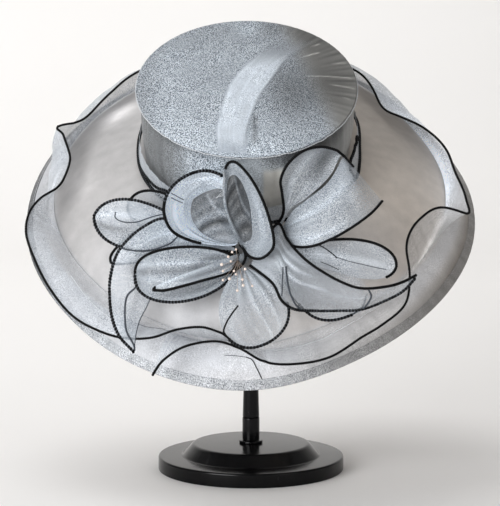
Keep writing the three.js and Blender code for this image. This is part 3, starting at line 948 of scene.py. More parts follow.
class StitchRow(Pattern):
    """A row of short stitches that lie end to end along a line, with small gaps."""

    name = "stitch_row"
    sizes = {"Length": "NodeSocketFloat", "Pitch": "NodeSocketFloat",
             "Radius": "NodeSocketFloat", "Thread": "NodeSocketMaterial"}

    def grow(self) -> Wire:
        """One flattened drop for each stitch.

        Returns:
            The finished geometry.
        """
        board, given = self.board, self.given
        curve = self.guide_curve()
        points = self.every(curve, given.other("Pitch"))
        drop = board.add("GeometryNodeMeshIcoSphere", None, {"Radius": 1.0, "Subdivisions": 1})
        turned = self.turned_along("X")
        size = board.add("ShaderNodeCombineXYZ", None,
                         {"X": given.other("Length"), "Y": given.other("Radius"),
                          "Z": given.other("Radius")})
        row = board.add("GeometryNodeInstanceOnPoints", None,
                        {"Points": points, "Instance": drop, "Rotation": turned, "Scale": size})
        thread = given.other("Thread")
        return self.finished(row, thread, thread, "none")


class PearlStamens(Pattern):
    """Pearls of slightly uneven size, each at the end of a fine wire."""

    name = "pearl_stamens"
    sizes = {"Pearl Radius": "NodeSocketFloat", "Wire Radius": "NodeSocketFloat",
             "Pearl": "NodeSocketMaterial", "Wire": "NodeSocketMaterial"}
    seed = 7
    least, most = 0.8, 1.15

    def grow(self) -> Wire:
        """A tube along each line and a pearl on its last point.

        Returns:
            The finished geometry.
        """
        board, given = self.board, self.given
        curve = self.guide_curve()
        wires = self.tube(curve, given.other("Wire Radius"), 5)
        ends = board.add("GeometryNodeCurveEndpointSelection", None,
                         {"Start Size": 0, "End Size": 1})
        size = board.add("FunctionNodeRandomValue", {"data_type": "FLOAT"},
                         {2: self.least, 3: self.most, "Seed": self.seed}, 1)
        ball = board.add("GeometryNodeMeshIcoSphere", None,
                         {"Radius": given.other("Pearl Radius"), "Subdivisions": 3})
        pearls = board.add("GeometryNodeInstanceOnPoints", None,
                           {"Points": curve, "Selection": ends,
                            "Instance": self.marked(ball, "pearl"), "Scale": size})
        return self.finished(self.joined(wires, pearls), given.other("Wire"),
                             given.other("Pearl"), "pearl")


class CordLook(Enum):
    """How densely a cord is overlocked, or that it shows through a layer of cloth."""

    SOLID = "solid"
    FLECKED = "flecked"
    VEILED = "veiled"


SOLID, FLECKED, VEILED = CordLook


@dataclass
class Trimmings:
    """Cords, stitches and stamens, each run from its own pattern. Sizes are millimetres."""

    atelier: Atelier
    wrap_slant: float = 36.0
    wrap_thickness: float = 0.36
    wraps = {
        # distance between the cord's stitches, and how far each one stretches along it
        SOLID: (1.5, 2.2), VEILED: (1.5, 2.2), FLECKED: (2.5, 3.9),
    }
    stitch_length: float = 1.6
    stitch_pitch: float = 2.6
    thread_radius: float = 0.16
    thread_end: float = 0.0001
    stamen_radius: float = 0.14

    def __post_init__(self) -> None:
        """Build the patterns once."""
        self.cord = OverlockedCord()
        self.row = StitchRow()
        self.pearls = PearlStamens()

    def edge(self, name: str, line: Array, look: CordLook, *nodes: str,
             closed: bool = False, radius: float = 1.3) -> bpy.types.Object:
        """Sew a black cord along a line of points.

        Args:
            name: the piece's name.
            line: its points in metres.
            look: solid, flecked or veiled.
            nodes: the CAD nodes that it stands for.
            closed: whether the line is a ring.
            radius: outer radius in millimetres.

        Returns:
            The finished cord.
        """
        wardrobe = self.atelier.wardrobe
        black = wardrobe.veil if look is VEILED else wardrobe.materials[Cloth.CORD]
        pitch, stretch = self.wraps[look]
        thick = min(self.wrap_thickness, 0.4 * radius)
        values = {
            "Core Radius": (radius - 0.72 * thick) * MM, "Wrap Radius": (radius - thick) * MM,
            "Wrap Thickness": thick * MM, "Wrap Stretch": stretch,
            "Pitch": pitch * MM, "Slant": math.radians(self.wrap_slant),
            "Core": wardrobe.fleck if look is FLECKED else black, "Thread": black,
        }
        piece = self.cord.use(name, line_mesh(name, [line], closed), values)
        return self.atelier.place(piece, Cloth.CORD, *nodes, dress=False)

    def stitches(self, name: str, line: Array, closed: bool, cloth: Cloth,
                 radius: float = 0.22) -> bpy.types.Object:
        """Sew a row of pale stitches along a line of points in metres.

        Args:
            name: the piece's name.
            line: the points.
            closed: whether the last row or point leads on to the first.
            cloth: not used, as the stitches keep the pale thread.
            radius: half a stitch's thickness in millimetres.

        Returns:
            The finished row.
        """
        values = {"Length": self.stitch_length * MM, "Pitch": self.stitch_pitch * MM,
                  "Radius": radius * MM, "Thread": self.atelier.wardrobe.stitch}
        piece = self.row.use(name, line_mesh(name, [line], closed), values)
        return self.atelier.place(piece, cloth, dress=False)

    def threads(self, name: str, lines: Sequence[Array]) -> bpy.types.Object:
        """Fine loose threads, with no pearl to speak of."""
        stitch = self.atelier.wardrobe.stitch
        return self.wired(name, lines, self.thread_radius, stitch, self.thread_end, stitch)

    def stamens(self, name: str, lines: Sequence[Array], radius: float) -> bpy.types.Object:
        """Set a pearl on the end of each wire."""
        wardrobe = self.atelier.wardrobe
        return self.wired(name, lines, self.stamen_radius, wardrobe.wire, radius, wardrobe.pearl)

    def wired(self, name: str, lines: Sequence[Array], thickness: float,
              wire: bpy.types.Material, radius: float,
              pearl: bpy.types.Material) -> bpy.types.Object:
        """Wires along lines of points in metres, with a ball on the end of each.

        Args:
            name: the piece's name.
            lines: the lines.
            thickness: the wires' radius in millimetres.
            wire: their material.
            radius: the balls' radius in millimetres.
            pearl: their material.

        Returns:
            The finished piece.
        """
        values = {"Pearl Radius": radius * MM, "Wire Radius": thickness * MM, "Pearl": pearl,
                  "Wire": wire}
        piece = self.pearls.use(name, line_mesh(name, lines), values)
        return self.atelier.place(piece, Cloth.PETAL, dress=False)


@dataclass(frozen=True)
class Crease:
    """A soft fold that runs along a piece, from one place on it to another, with painted light
    along it.

    Places are a share of the length and a share of the width. Rise and width are millimetres.
    Painted light above 0 is a highlight and below 0 painted shade; with no rise, the crease is only
    a painted patch.
    """

    start: tuple[float, float]
    end: tuple[float, float]
    rise: float = 0.8
    width: float = 1.6
    # painted highlight above 0, painted shade below 0
    bright: float = 0.25
    cover: float = 0.12

    def over(self, along: Array, across: Array, widths: Array) -> Array:
        """How much of the crease there is at each point, from 0 to 1.

        Args:
            along: shares of the length.
            across: shares of the width.
            widths: the piece's widths in millimetres.

        Returns:
            The share at each point.
        """
        f = (along - self.start[0]) / (self.end[0] - self.start[0])
        centre = self.start[1] + (self.end[1] - self.start[1]) * f
        fade = np.where((f > 0) & (f < 1), np.sin(math.pi * np.clip(f, 0, 1)) ** 0.5, 0)
        return fade * np.exp(-(((across - centre) * widths / self.width) ** 2))


# The stand

@dataclass
class Stand:
    """A round foot, a two-step post and the plain cap that the hat rests on."""

    foot_radius: float = 78.0
    foot_height: float = 12.0
    disc_bottom: float = 56.0
    disc_top: float = 49.0
    disc_height: float = 10.0
    flange_radius: float = 9.8
    flange_height: float = 2.0
    sleeve_radius: float = 7.2
    sleeve_top: float = 44.0
    post_bottom: float = 7.0
    post_radius: float = 6.2
    post_taper: float = 74.0
    cap_x: float = 3.5
    cap_y: float = 36.0
    cap_radius: float = 46.0
    cap_thick: float = 12.0
    cap_round: float = 5.0
    cap_under: float = 51.8
    gap: float = 0.4
    sides: int = 144

    def turned(self, name: str, profile: Sequence[tuple[float, float, float]],
               place: Place = GROUND, shift: tuple[float, float] = (0.0, 0.0),
               slant: Callable[[Array], Array] | None = None) -> bpy.types.Object:
        """Turn a profile round the z axis.

        Args:
            name: the piece's name.
            profile: radius, height and corner rounding of each corner, from axis to axis.
            place: the frame it stands in.
            shift: x and y of its axis in that frame.
            slant: height of the top face for each y, where it isn't level.

        Returns:
            The closed mesh object.
        """
        line = self.rounded(profile)
        turn = np.radians(np.arange(self.sides) * 360 / self.sides)
        inner = line[1:-1]
        x = inner[:, None, 0] * np.cos(turn)
        y = inner[:, None, 0] * np.sin(turn)
        z = np.broadcast_to(inner[:, None, 1], x.shape)
        points = np.stack([x, y, z], -1).reshape(-1, 3)
        ends = np.array([[0, 0, line[0, 1]], [0, 0, line[-1, 1]]])
        points = np.concatenate([points, ends])
        if slant:
            top = points[:, 2] > line[:, 1].max() - 0.01
            points[top, 2] = slant(points[top, 1])
        points += np.array([*shift, 0.0])
        rings, low = len(inner), len(points) - 2
        faces: list = []
        for k in range(self.sides):
            after = (k + 1) % self.sides
            faces.append((low, after, k))
            start = (rings - 1) * self.sides
            faces.append((low + 1, start + k, start + after))
            for r in range(rings - 1):
                a, b = r * self.sides, (r + 1) * self.sides
                faces.append((a + k, a + after, b + after, b + k))
        mesh = bpy.data.meshes.new(name)
        mesh.from_pydata(place.world(points).tolist(), [], faces)
        mesh.polygons.foreach_set("use_smooth", np.ones(len(mesh.polygons), bool))
        mesh.set_sharp_from_angle(angle=math.radians(35))
        return new_object(name, mesh)

    def rounded(self, profile: Sequence[tuple[float, float, float]]) -> Array:
        """Points of a profile with each corner turned into a short arc.

        Args:
            profile: radius, height and rounding of each corner.

        Returns:
            Radius and height of each point.
        """
        corners = np.array([p[:2] for p in profile], float)
        line = [corners[0]]
        for k in range(1, len(profile) - 1):
            size = profile[k][2]
            before, here, after = corners[k - 1], corners[k], corners[k + 1]
            start = here + (before - here) / np.linalg.norm(before - here) * size
            end = here + (after - here) / np.linalg.norm(after - here) * size
            for f in np.linspace(0, 1, 7 if size else 1):
                line.append((1 - f) ** 2 * start + 2 * f * (1 - f) * here + f**2 * end)
        line.append(corners[-1])
        return np.array(line)

    def build(self, atelier: Atelier) -> None:
        """Make and place the five pieces.

        Args:
            atelier: gives pieces their finish and place.
        """
        top = self.foot_height + self.disc_height
        foot = self.turned("stand_foot_turned", [
            (0, 0, 0), (self.foot_radius, 0, 1.2), (self.foot_radius, self.foot_height, 1.8),
            (self.disc_bottom + 2, self.foot_height, 1.2), (self.disc_top, top, 2.2), (0, top, 0),
        ])
        atelier.place(foot, Cloth.PLASTIC, "stand_foot")
        low = top + self.gap
        flange = self.turned("stand_flange_turned", [
            (0, low, 0), (self.flange_radius, low, 0.2),
            (self.flange_radius, low + self.flange_height, 0.7), (0, low + self.flange_height, 0),
        ])
        atelier.place(flange, Cloth.PLASTIC, "stand_flange")
        low += self.flange_height + self.gap
        sleeve = self.turned("stand_sleeve_turned", [
            (0, low, 0), (self.sleeve_radius, low, 0.2), (self.sleeve_radius, self.sleeve_top, 1.1),
            (0, self.sleeve_top, 0),
        ])
        atelier.place(sleeve, Cloth.PLASTIC, "stand_sleeve")
        atelier.place(self.post(), Cloth.PLASTIC, "stand_post")
        under, over = self.cap_under, self.cap_under + self.cap_thick
        cap = self.turned("stand_cap_turned", [
            (0, under, 0), (self.cap_radius, under, 0.8), (self.cap_radius, over, self.cap_round),
            (0, over, 0),
        ], HAT, (self.cap_x, self.cap_y))
        atelier.place(cap, Cloth.PLASTIC, "stand_cap")

    def post(self) -> bpy.types.Object:
        """The upper post, whose top is cut to the slant of the cap.

        Returns:
            The post.
        """
        tilt = math.radians(HAT.lean)
        under = self.cap_under - self.gap / math.cos(tilt)

        def slant(y: Array) -> Array:
            """Height of the cut at each y."""
            return HAT.z + (under + (y - HAT.y) * math.sin(tilt)) / math.cos(tilt)

        top = float(slant(np.array(0.0)))
        low = self.sleeve_top + self.gap
        return self.turned("stand_post_turned", [
            (0, low, 0), (self.post_bottom, low, 0.2), (self.post_radius, self.post_taper, 2.0),
            (self.post_radius, top, 0), (0, top, 0),
        ], slant=slant)


# The crown

@dataclass
class Crown:
    """Oval side wall, domed tip with its doubled band, seam and corded sash."""

    base_x: float = 91.0
    base_y: float = 99.0
    tip_x: float = 89.0
    tip_y: float = 98.0
    height: float = 66.0
    belly: float = 1.5
    dome: float = 3.0
    overhang: float = 0.5
    cloth: float = 1.2
    gap: float = 0.4
    waist: float = 7.0
    sash_depth: float = 14.0
    sash_hug: float = 1.0
    steps: int = 360

    band_rows = (
        # leftX, leftY, rightX, rightY
        (-23, -93.5, 1, -97), (-24, -84, 1.5, -86), (-24.5, -62, 2, -62), (-19, -20, 12, -20),
        (-13, 2, 20.5, 2), (-1, 29, 32.5, 29), (14, 57, 50, 50), (24, 74, 60, 62),
    )
    sash_rows = (
        # azimuth, flare, lowerEdge
        (0, 2.5, 5), (30, 3, 6), (55, 4.5, 8), (65, 6.5, 9), (75, 4.5, 9), (90, 2.5, 10),
        (115, 4, 9), (150, 3, 6), (180, 3, 5), (210, 3, 5), (245, 3, 6), (270, 2, 8),
        (300, 2.5, 8), (330, 2.5, 6),
    )
    side_tone_and_shade = (
        # azimuth, tone, warmth, glitter; the tone is painted light and shade over the cloth's own
        # tone, lighter at the front and darker to the left and right
        (0, 1.32, 0.2, 0.5), (20, 0.85, 0.3, 0.5), (40, 0.42, 0.5, 0.4), (70, 0.58, 0.8, 0.2),
        (120, 0.7, 0.7, 0.3), (180, 0.75, 0.5, 0.5), (240, 0.65, 0.5, 0.4), (290, 0.35, 0.4, 0.4),
        (314, 0.42, 0.35, 0.5), (336, 1.0, 0.1, 1.0),
    )
    rim_highlights = (
        # painted highlights on the puckers at the rim: azimuth, where each starts and ends toward
        # the rim, brightness
        (283, 0.8, 0.9, 0.5), (348, 0.78, 0.95, 0.5), (4, 0.82, 0.95, 0.4), (78, 0.84, 0.93, 0.3),
        (88, 0.72, 0.96, 0.4), (97, 0.5, 0.93, 0.5), (111, 0.82, 0.95, 0.3), (125, 0.62, 0.8, 0.7),
        (133, 0.8, 0.9, 0.5),
    )
    tip_light_and_shade = {
        # spots of painted shade and painted highlight: x, y, width along x, width along y
        "shade": (36, -8, 25, 46), "right_shade": (74, 6, 20, 34), "middle": (-30, 6, 26, 36),
        "rear_light": (1, 84, 9, 10), "rear_dark": (19, 84, 9, 14),
    }
    sash_ties = {
        # the second cord of the sash, as places on it, where it leaves the first
        "left": ((0.8, 0.0), (0.836, 0.23), (0.856, 0.31), (0.878, 0.62), (0.9, 0.9)),
        "right": ((0.25, 0.3), (0.236, 0.9), (0.2, 1.0), (0.182, 0.98), (0.176, 0.6),
                  (0.178, 0.05)),
    }

    def wall_point(self, azimuth: Array, height: Array, proud: Array | float = 0.0) -> Array:
        """Points of the side wall's outer face, or proud of it.

        Args:
            azimuth: azimuths in degrees.
            height: heights in millimetres.
            proud: how far outside the outer face.

        Returns:
            The points.
        """
        share = height / self.height
        belly = self.belly * 4 * share * (1 - share)
        half_x = self.base_x + (self.tip_x - self.base_x) * share + belly + proud
        half_y = self.base_y + (self.tip_y - self.base_y) * share + belly + proud
        turn = np.radians(azimuth)
        return np.stack([half_x * np.sin(turn), -half_y * np.cos(turn),
                         np.broadcast_to(height, half_x.shape)], -1)

    def side(self) -> Sheet:
        """The side wall, with soft upright folds.

        Returns:
            The shaped sheet.
        """
        azimuth = np.arange(self.steps) * 360 / self.steps
        height = np.linspace(self.gap, self.height, 28)
        a, h = np.meshgrid(azimuth, height, indexing="ij")
        folds = ripples(a / 360, (17, 29, 43, 61), 1.7) * (0.4 + 0.6 * h / self.height)
        inset = 0.8 + 3.9 * spread(a, 272, 34) + 2.4 * spread(a, 88, 30)
        drawn_in = inset + (self.waist - inset) * (1 - ramp(h, 2, 46))
        grid = self.wall_point(a, h, folds - self.cloth - drawn_in)
        # the tone by azimuth is painted light and shade over the cloth's own tone
        look = at_azimuth(self.side_tone_and_shade, a)
        tone = look[..., 1] * (1 + 0.2 * ripples(a / 360, (11, 23, 47), 0.6))
        # painted shadow under the tip's seam, deeper and wider on the right
        right = spread(a, 38, 26)
        tone = tone * (1 - (0.45 + 0.3 * right) * ramp(h, 54 - 12 * right, 66 - 8 * right))
        bare = window(a, (7.5, 9.5), (26, 36)) * (1 - ramp(h, 49, 55))
        tone = tone + (1.4 - tone) * bare + 0.16 * spread(a, 4, 4) * (1 - bare)
        values = {"tone": tone, "warmth": look[..., 2] + (0.95 - look[..., 2]) * bare,
                  "glitter": look[..., 3] * (1 - 0.8 * bare)}
        return Sheet("crown_side_cloth", grid, HAT, True, values)

    def tip_height(self, x: Array, y: Array) -> Array:
        """Height of the tip's upper face."""
        share = np.hypot(x / (self.tip_x + self.overhang), y / (self.tip_y + self.overhang))
        return self.height + self.gap + self.cloth + self.dome * (1 - share**2)

    def gathers(self, azimuth: Array, share: Array) -> Array:
        """Small radial puckers where the tip's cloth is eased into its seam.

        Args:
            azimuth: azimuths in degrees.
            share: shares of the way to the rim.

        Returns:
            Their height at each point.
        """
        right = 0.4 * spread(azimuth, 95, 38) + 0.5 * spread(azimuth, 5, 22)
        pucker = ripples(azimuth / 360, (53, 71, 97), 0.9)
        return (0.16 + 0.75 * right) * pucker * ramp(share, 0.66, 0.98)

    def tip(self) -> Sheet:
        """The domed tip, closed over its middle and turned down at its seam.

        Returns:
            The shaped sheet.
        """
        azimuth = np.arange(self.steps) * 360 / self.steps
        share = np.concatenate([np.linspace(0.004, 0.9, 60), np.linspace(0.915, 1.0, 12)])
        a, s = np.meshgrid(azimuth, share, indexing="ij")
        rim = self.wall_point(a, np.full(a.shape, self.height), self.overhang)
        x, y = rim[..., 0] * s, rim[..., 1] * s
        z = self.tip_height(x, y) - self.cloth / 2 + 0.55 * self.gathers(a, s)
        values = self.tip_values(x, y, a, s)
        return Sheet("crown_tip_cloth", np.stack([x, y, z], -1), HAT, True, values,
                     (2 * self.tip_x + 2, 2 * self.tip_y + 2))

    def tip_values(self, x: Array, y: Array, azimuth: Array, share: Array) -> dict[str, Array]:
        """Tone, warmth and glitter over the tip, with painted light and shade in the tone.

        Args:
            x: millimetres to the right.
            y: millimetres to the rear.
            azimuth: azimuths in degrees.
            share: shares of the way to the rim.

        Returns:
            The values by name.
        """
        spot = {name: spread(x, at_x, wide) * spread(y, at_y, deep)
                for name, (at_x, at_y, wide, deep) in self.tip_light_and_shade.items()}
        shade = spot["shade"]
        bare = ramp(x + 0.25 * y, 43, 68)
        # painted light and shade: lighter toward the front, painted shade beside the band and in
        # the middle, darker over the bare part
        tone = 1.0 + 0.22 * ramp(-y, 20, 90) - 0.5 * shade - 0.14 * spot["middle"] - 0.16 * bare
        # darker to the right, to the rear and at the far left, as painted shade
        level = (0.92 - 0.25 * ramp(x, 0, 60) - 0.26 * ramp(y, 20, 85) - 0.28 * bare
                 - 0.15 * shade - 0.26 * ramp(-x, 62, 86) - 0.2 * spot["right_shade"])
        # painted shading on the puckers, lighter where they rise
        tone = tone * level + 0.3 * self.gathers(azimuth, share)
        # a painted highlight and a spot of painted shade at the rear
        tone = tone + 0.36 * spot["rear_light"] - 0.16 * spot["rear_dark"]
        # a thin line of painted shadow at the band's right edge, toward the front
        tone = tone - 0.5 * spread(x, 6.5, 3.2) * window(-y, (38, 50), (76, 90))
        # painted highlights along the puckers at the rim
        for line, inner, outer, bright in self.rim_highlights:
            off = np.mod(azimuth - line + 180, 360) - 180
            ends = window(share, (inner, inner + 0.1), (outer, outer + 0.04))
            tone = tone + bright * spread(off + 12 * (share - 0.9), 0, 0.6) * ends
        return {"tone": tone, "warmth": 0.04 + 0.9 * bare, "glitter": 1.0 - 0.8 * bare}

    def band(self) -> Sheet:
        """The doubled band of cloth across the tip.

        Returns:
            The shaped sheet.
        """
        place = np.linspace(0, len(self.band_rows) - 1, 60)
        row = smooth_rows(self.band_rows, place, False)
        across = np.linspace(0, 1, 20)[:, None]
        x = row[:, 0] + (row[:, 2] - row[:, 0]) * across
        y = row[:, 1] + (row[:, 3] - row[:, 1]) * across
        x, y = x.T, y.T
        edge = np.minimum(across, 1 - across).T * np.ones_like(x)
        lift = 0.9 + 0.5 * ramp(edge, 0, 0.2)
        grid = np.stack([x, y, self.tip_height(x, y) + lift - 0.3], -1)
        rear = ramp(y, 10, 60)
        ends = ramp(-y, -74, -20) * (1 - 0.6 * ramp(-y, 72, 98))
        soft = ramp(edge, 0, 0.1 + 0.2 * rear)
        values = {"tone": 1.12 - 0.5 * rear, "warmth": 0.05 + 0.1 * rear, "glitter": 0.6,
                  "cover": 0.94 * ends * soft}
        return Sheet("crown_band_cloth", grid, HAT, False, values)

    def sash(self) -> Sheet:
        """The ribbon round the crown's base, flared at its lower edge.

        Returns:
            The shaped sheet.
        """
        azimuth = np.arange(self.steps) * 360 / self.steps
        row = at_azimuth(self.sash_rows, azimuth)
        up = np.linspace(0, 1, 14)
        a, u = np.meshgrid(azimuth, up, indexing="ij")
        flare, lower = row[:, 1:2], row[:, 2:3]
        drawn = 4.6 * spread(a, 268, 32) + 2.0 * spread(a, 84, 18) - 2.5 * spread(a, 118, 16)
        proud = (flare + 1 - drawn) + (self.sash_hug - flare - 1) * np.sqrt(u)
        folds = 0.5 * ripples(a / 360, (31, 47, 73), 2.2) * u
        grid = self.wall_point(a, lower + self.sash_depth * u, proud + folds)
        tone = 0.95 + 0.1 * ripples(a / 360, (19, 37), 1.1)
        values = {"tone": tone, "warmth": 0.2, "glitter": 0.5, "cover": 0.62}
        return Sheet("crown_sash_cloth", grid, HAT, True, values)

    def seam(self) -> Array:
        """The line of the tip's seam, in metres.

        Returns:
            Its points.
        """
        azimuth = np.arange(0, 360, 1.5)
        height = np.full(azimuth.shape, self.height + 0.2)
        line = self.wall_point(azimuth, height, self.overhang + 0.45)
        line[:, 2] += 0.5 * ripples(azimuth / 360, (23, 41, 57), 0.3)
        return HAT.world(line)

    def build(self, atelier: Atelier, trimmings: Trimmings) -> None:
        """Make and place the crown's pieces.

        Args:
            atelier: gives pieces their finish and place.
            trimmings: sews cords and stitches.
        """
        atelier.sheet(self.side(), Cloth.CROWN, "crown_side", held="stretched",
                      rests_on=["brim"], wall=self.cloth)
        atelier.sheet(self.tip(), Cloth.CROWN, "crown_tip", held="stretched",
                      rests_on=["crown_side", "stand_cap"], wall=self.cloth)
        atelier.sheet(self.band(), Cloth.PETAL, "crown_tip_fold", held="laid",
                      rests_on=["crown_tip"])
        sash = self.sash()
        atelier.sheet(sash, Cloth.PETAL, "crown_sash", held="gathered", rests_on=["crown_side"])
        trimmings.edge("sash_cord", HAT.world(sash.grid[:, 0]), FLECKED, closed=True,
                       radius=1.5)
        for side, path in self.sash_ties.items():
            trimmings.edge(f"sash_cord_{side}", sash.along(path), FLECKED)
        trimmings.stitches("crown_seam_stitches", self.seam(), True, Cloth.CROWN, 0.5)


# The brim and its ruffle

@dataclass
class Brim:
    """A bell-shaped brim with a turned and bound hem."""

    start_x: float = 92.0
    start_y: float = 100.0
    bulge: float = 9.0
    under: float = 13.0
    cloth: float = 1.2
    hem_width: float = 7.0
    hem_thick: float = 2.4
    stitched_from: int = 130
    stitched_to: int = 385
    stitch_inset: float = 6.2
    stitch_lift: float = 0.65
    seam_lift: float = 0.7
    steps: int = 540

    rows = (
        # width, slope, at every 30 degrees from the front
        (129.5, 46), (121.5, 41), (118, 32), (118, 31), (118, 30.5), (118, 23.5),
        (118, 23), (118, 27), (118, 32), (118, 36), (118.5, 38.5), (126, 46),
    )

    look = (
        # azimuth, tone, warmth; the tone is painted light and shade, lighter at the front and
        # darker on the right and at the rear
        (0, 1.25, 0.5), (25, 1.5, 0.6), (50, 1.45, 0.8), (70, 1.25, 1.0), (95, 0.9, 1.0),
        (120, 0.7, 1.0), (150, 0.72, 0.9), (180, 0.75, 0.7), (225, 0.8, 0.5), (260, 0.78, 0.5),
        (290, 0.84, 0.5), (320, 1.02, 0.4), (345, 1.14, 0.35),
    )
    hem_tone_and_shade = (
        # azimuth, tone, warmth; the tone is partly the hem's darker doubled cloth and partly
        # painted shade, darkest on the left
        (0, 0.9, 0.15), (30, 0.74, 0.4), (60, 0.52, 0.75), (100, 0.5, 0.8), (150, 0.7, 0.4),
        (210, 0.55, 0.2), (240, 0.26, 0.2), (262, 0.2, 0.15), (282, 0.24, 0.15), (296, 0.36, 0.1),
        (308, 0.7, 0.1), (322, 0.92, 0.1),
    )
    painted_highlights = (
        # painted highlights on the brim: azimuth, its spread, share of the width, its spread,
        # brightness
        (234, 7, 0.53, 0.13, 1.15), (273, 9, 0.56, 0.13, 0.32),
    )
    under_seams = {
        # look, radius, and places as azimuth and inset, where an under layer ends at the front
        "across": (VEILED, 0.3, ((354, 23.5), (357, 23.5), (360, 22.5))),
        "down": (SOLID, 0.45, ((360, 22.5), (361.5, 20.5), (362.5, 15.5), (363.8, 7.6))),
    }

    def row(self, azimuth: Array) -> tuple[Array, Array]:
        """Width and slope in radians at each azimuth.

        Args:
            azimuth: azimuths in degrees.

        Returns:
            The widths and the slopes.
        """
        place = np.mod(azimuth, 360) / (360 / len(self.rows))
        found = smooth_rows(self.rows, place, True)
        return found[..., 0], np.radians(found[..., 1])

    def point(self, azimuth: Array, distance: Array) -> Array:
        """Points of the upper face, by distance along the slope from the crown opening.

        Args:
            azimuth: azimuths in degrees.
            distance: millimetres out from the crown's opening.

        Returns:
            The points.
        """
        width, slope = self.row(azimuth)
        out = np.maximum(distance, 0)
        share = out / width
        reach = np.where(distance > 0, distance * np.cos(slope), distance)
        arch = np.where(share < 1, self.bulge * 4 * share * (1 - share), 0)
        turn = np.radians(azimuth)
        return np.stack([(self.start_x + reach) * np.sin(turn),
                         -(self.start_y + reach) * np.cos(turn), -out * np.sin(slope) + arch], -1)

    def frame(self, azimuth: Array, distance: Array) -> tuple[Array, Array, Array]:
        """Points of the upper face with their outward and upward directions.

        Args:
            azimuth: azimuths in degrees.
            distance: millimetres out from the crown's opening.

        Returns:
            The points and both directions.
        """
        small = 0.1
        here = self.point(azimuth, distance)
        out = here - self.point(azimuth, distance - small)
        out /= np.linalg.norm(out, axis=-1, keepdims=True)
        round_it = self.point(azimuth + small, distance) - self.point(azimuth - small, distance)
        up = np.cross(out, round_it)
        up /= np.linalg.norm(up, axis=-1, keepdims=True)
        return here, out, up * np.sign(up[..., 2:3])

    def sheet(self) -> Sheet:
        """The brim's one sheet, from under the crown out to the hem.

        Returns:
            The shaped sheet.
        """
        azimuth = np.arange(self.steps) * 360 / self.steps
        share = np.linspace(0, 1, 56)
        a, s = np.meshgrid(azimuth, share, indexing="ij")
        width, _ = self.row(a)
        distance = -self.under + s * (width - self.hem_width / 2 + self.under)
        here, _, up = self.frame(a, distance)
        soft = 0.35 * ripples(a / 360, (9, 14, 23), 0.8) * ramp(s, 0.08, 0.4)
        pull = 0.25 * ripples(a / 360, (67, 101), 0.4) * (1 - ramp(s, 0.02, 0.12))
        grid = here + up * (soft + pull - self.cloth / 2)[..., None]
        return Sheet("brim_cloth_sheet", grid, HAT, True, self.values(a, s, distance, width))

    def values(self, azimuth: Array, share: Array, distance: Array,
               width: Array) -> dict[str, Array]:
        """Tone, warmth and glitter over the brim, with painted light, shade and highlights in the
        tone.

        Args:
            azimuth: azimuths in degrees.
            share: shares of the way out.
            distance: millimetres out from the crown's opening.
            width: the brim's width there.

        Returns:
            The values by name.
        """
        outer = ramp(distance, width - 36, width - 26)
        # the tone by azimuth is painted light and shade
        look = at_azimuth(self.look, azimuth)
        streak = 0.05 * ripples(azimuth / 360, (13, 31, 53), 0.5) * ramp(share, 0.05, 0.3)
        tone = look[..., 1] * (1 + streak) + 0.05 * outer
        # painted highlights on the brim
        for middle, wide, place, deep, bright in self.painted_highlights:
            tone = tone + bright * spread(azimuth, middle, wide) * spread(share, place, deep)
        # near the hem, the tone blends into the hem's tone with its painted shade
        hem = at_azimuth(self.hem_tone_and_shade, azimuth)
        melt = 0.3 + 0.65 * spread(azimuth, 75, 40) - 0.3 * spread(azimuth, 262, 40)
        near = melt * ramp(distance, width - 20, width - 6)
        match = 0.95 - 0.13 * spread(azimuth, 75, 40)
        tone = tone + (match * hem[..., 1] - tone) * near
        warmth = look[..., 2] * (1 - 0.6 * outer * (1 - near))
        glitter = 0.15 + 0.85 * outer
        return {"tone": tone, "warmth": warmth, "glitter": glitter}

    def hem(self) -> Sheet:
        """The hem's section, taken once round: over, round the edge and back under.

        Returns:
            The shaped sheet.
        """
        azimuth = np.arange(self.steps) * 360 / self.steps
        width, _ = self.row(azimuth)
        inner, out, up = self.frame(azimuth, width - self.hem_width)
        outer, out_b, up_b = self.frame(azimuth, width)
        half = self.hem_thick / 2
        lift = half - self.cloth / 2
        section = []
        for f in np.linspace(0, 1, 7)[:-1]:
            section.append(inner + (outer - inner) * f + up * (lift - 0.25 * (1 - f)))
        for turn in np.linspace(90, -90, 9):
            c, s = math.cos(math.radians(turn)), math.sin(math.radians(turn))
            middle = outer - out_b * half + up_b * (lift - half)
            section.append(middle + out_b * half * c + up_b * half * s)
        for f in np.linspace(1, 0, 7)[1:]:
            section.append(inner + (outer - inner) * f + up * (lift - 2 * half + 0.25 * (1 - f)))
        section.append(section[0])
        grid = np.stack(section, 1)
        a = np.broadcast_to(azimuth[:, None], grid.shape[:2])
        crinkle = 0.12 * ripples(a / 360, (83, 131, 190), 0.7)
        grid = grid + up[:, None] * crinkle[..., None]
        # the hem's tone, partly its own doubled cloth and partly painted shade
        look = at_azimuth(self.hem_tone_and_shade, a)
        values = {"tone": look[..., 1] * (1 + 0.16 * ripples(a / 360, (61, 97, 143), 0.2)),
                  "warmth": look[..., 2], "glitter": 0.8}
        return Sheet("brim_hem_cloth", grid, HAT, True, values)

    def stitch_line(self) -> Array:
        """The hem's stitches, from the brim's right side round the back to its front, in metres.

        Returns:
            Its points.
        """
        azimuth = np.arange(self.stitched_from, self.stitched_to) * 1.0
        width, _ = self.row(azimuth)
        here, _, up = self.frame(azimuth, width - self.stitch_inset)
        return HAT.world(here + up * self.stitch_lift)

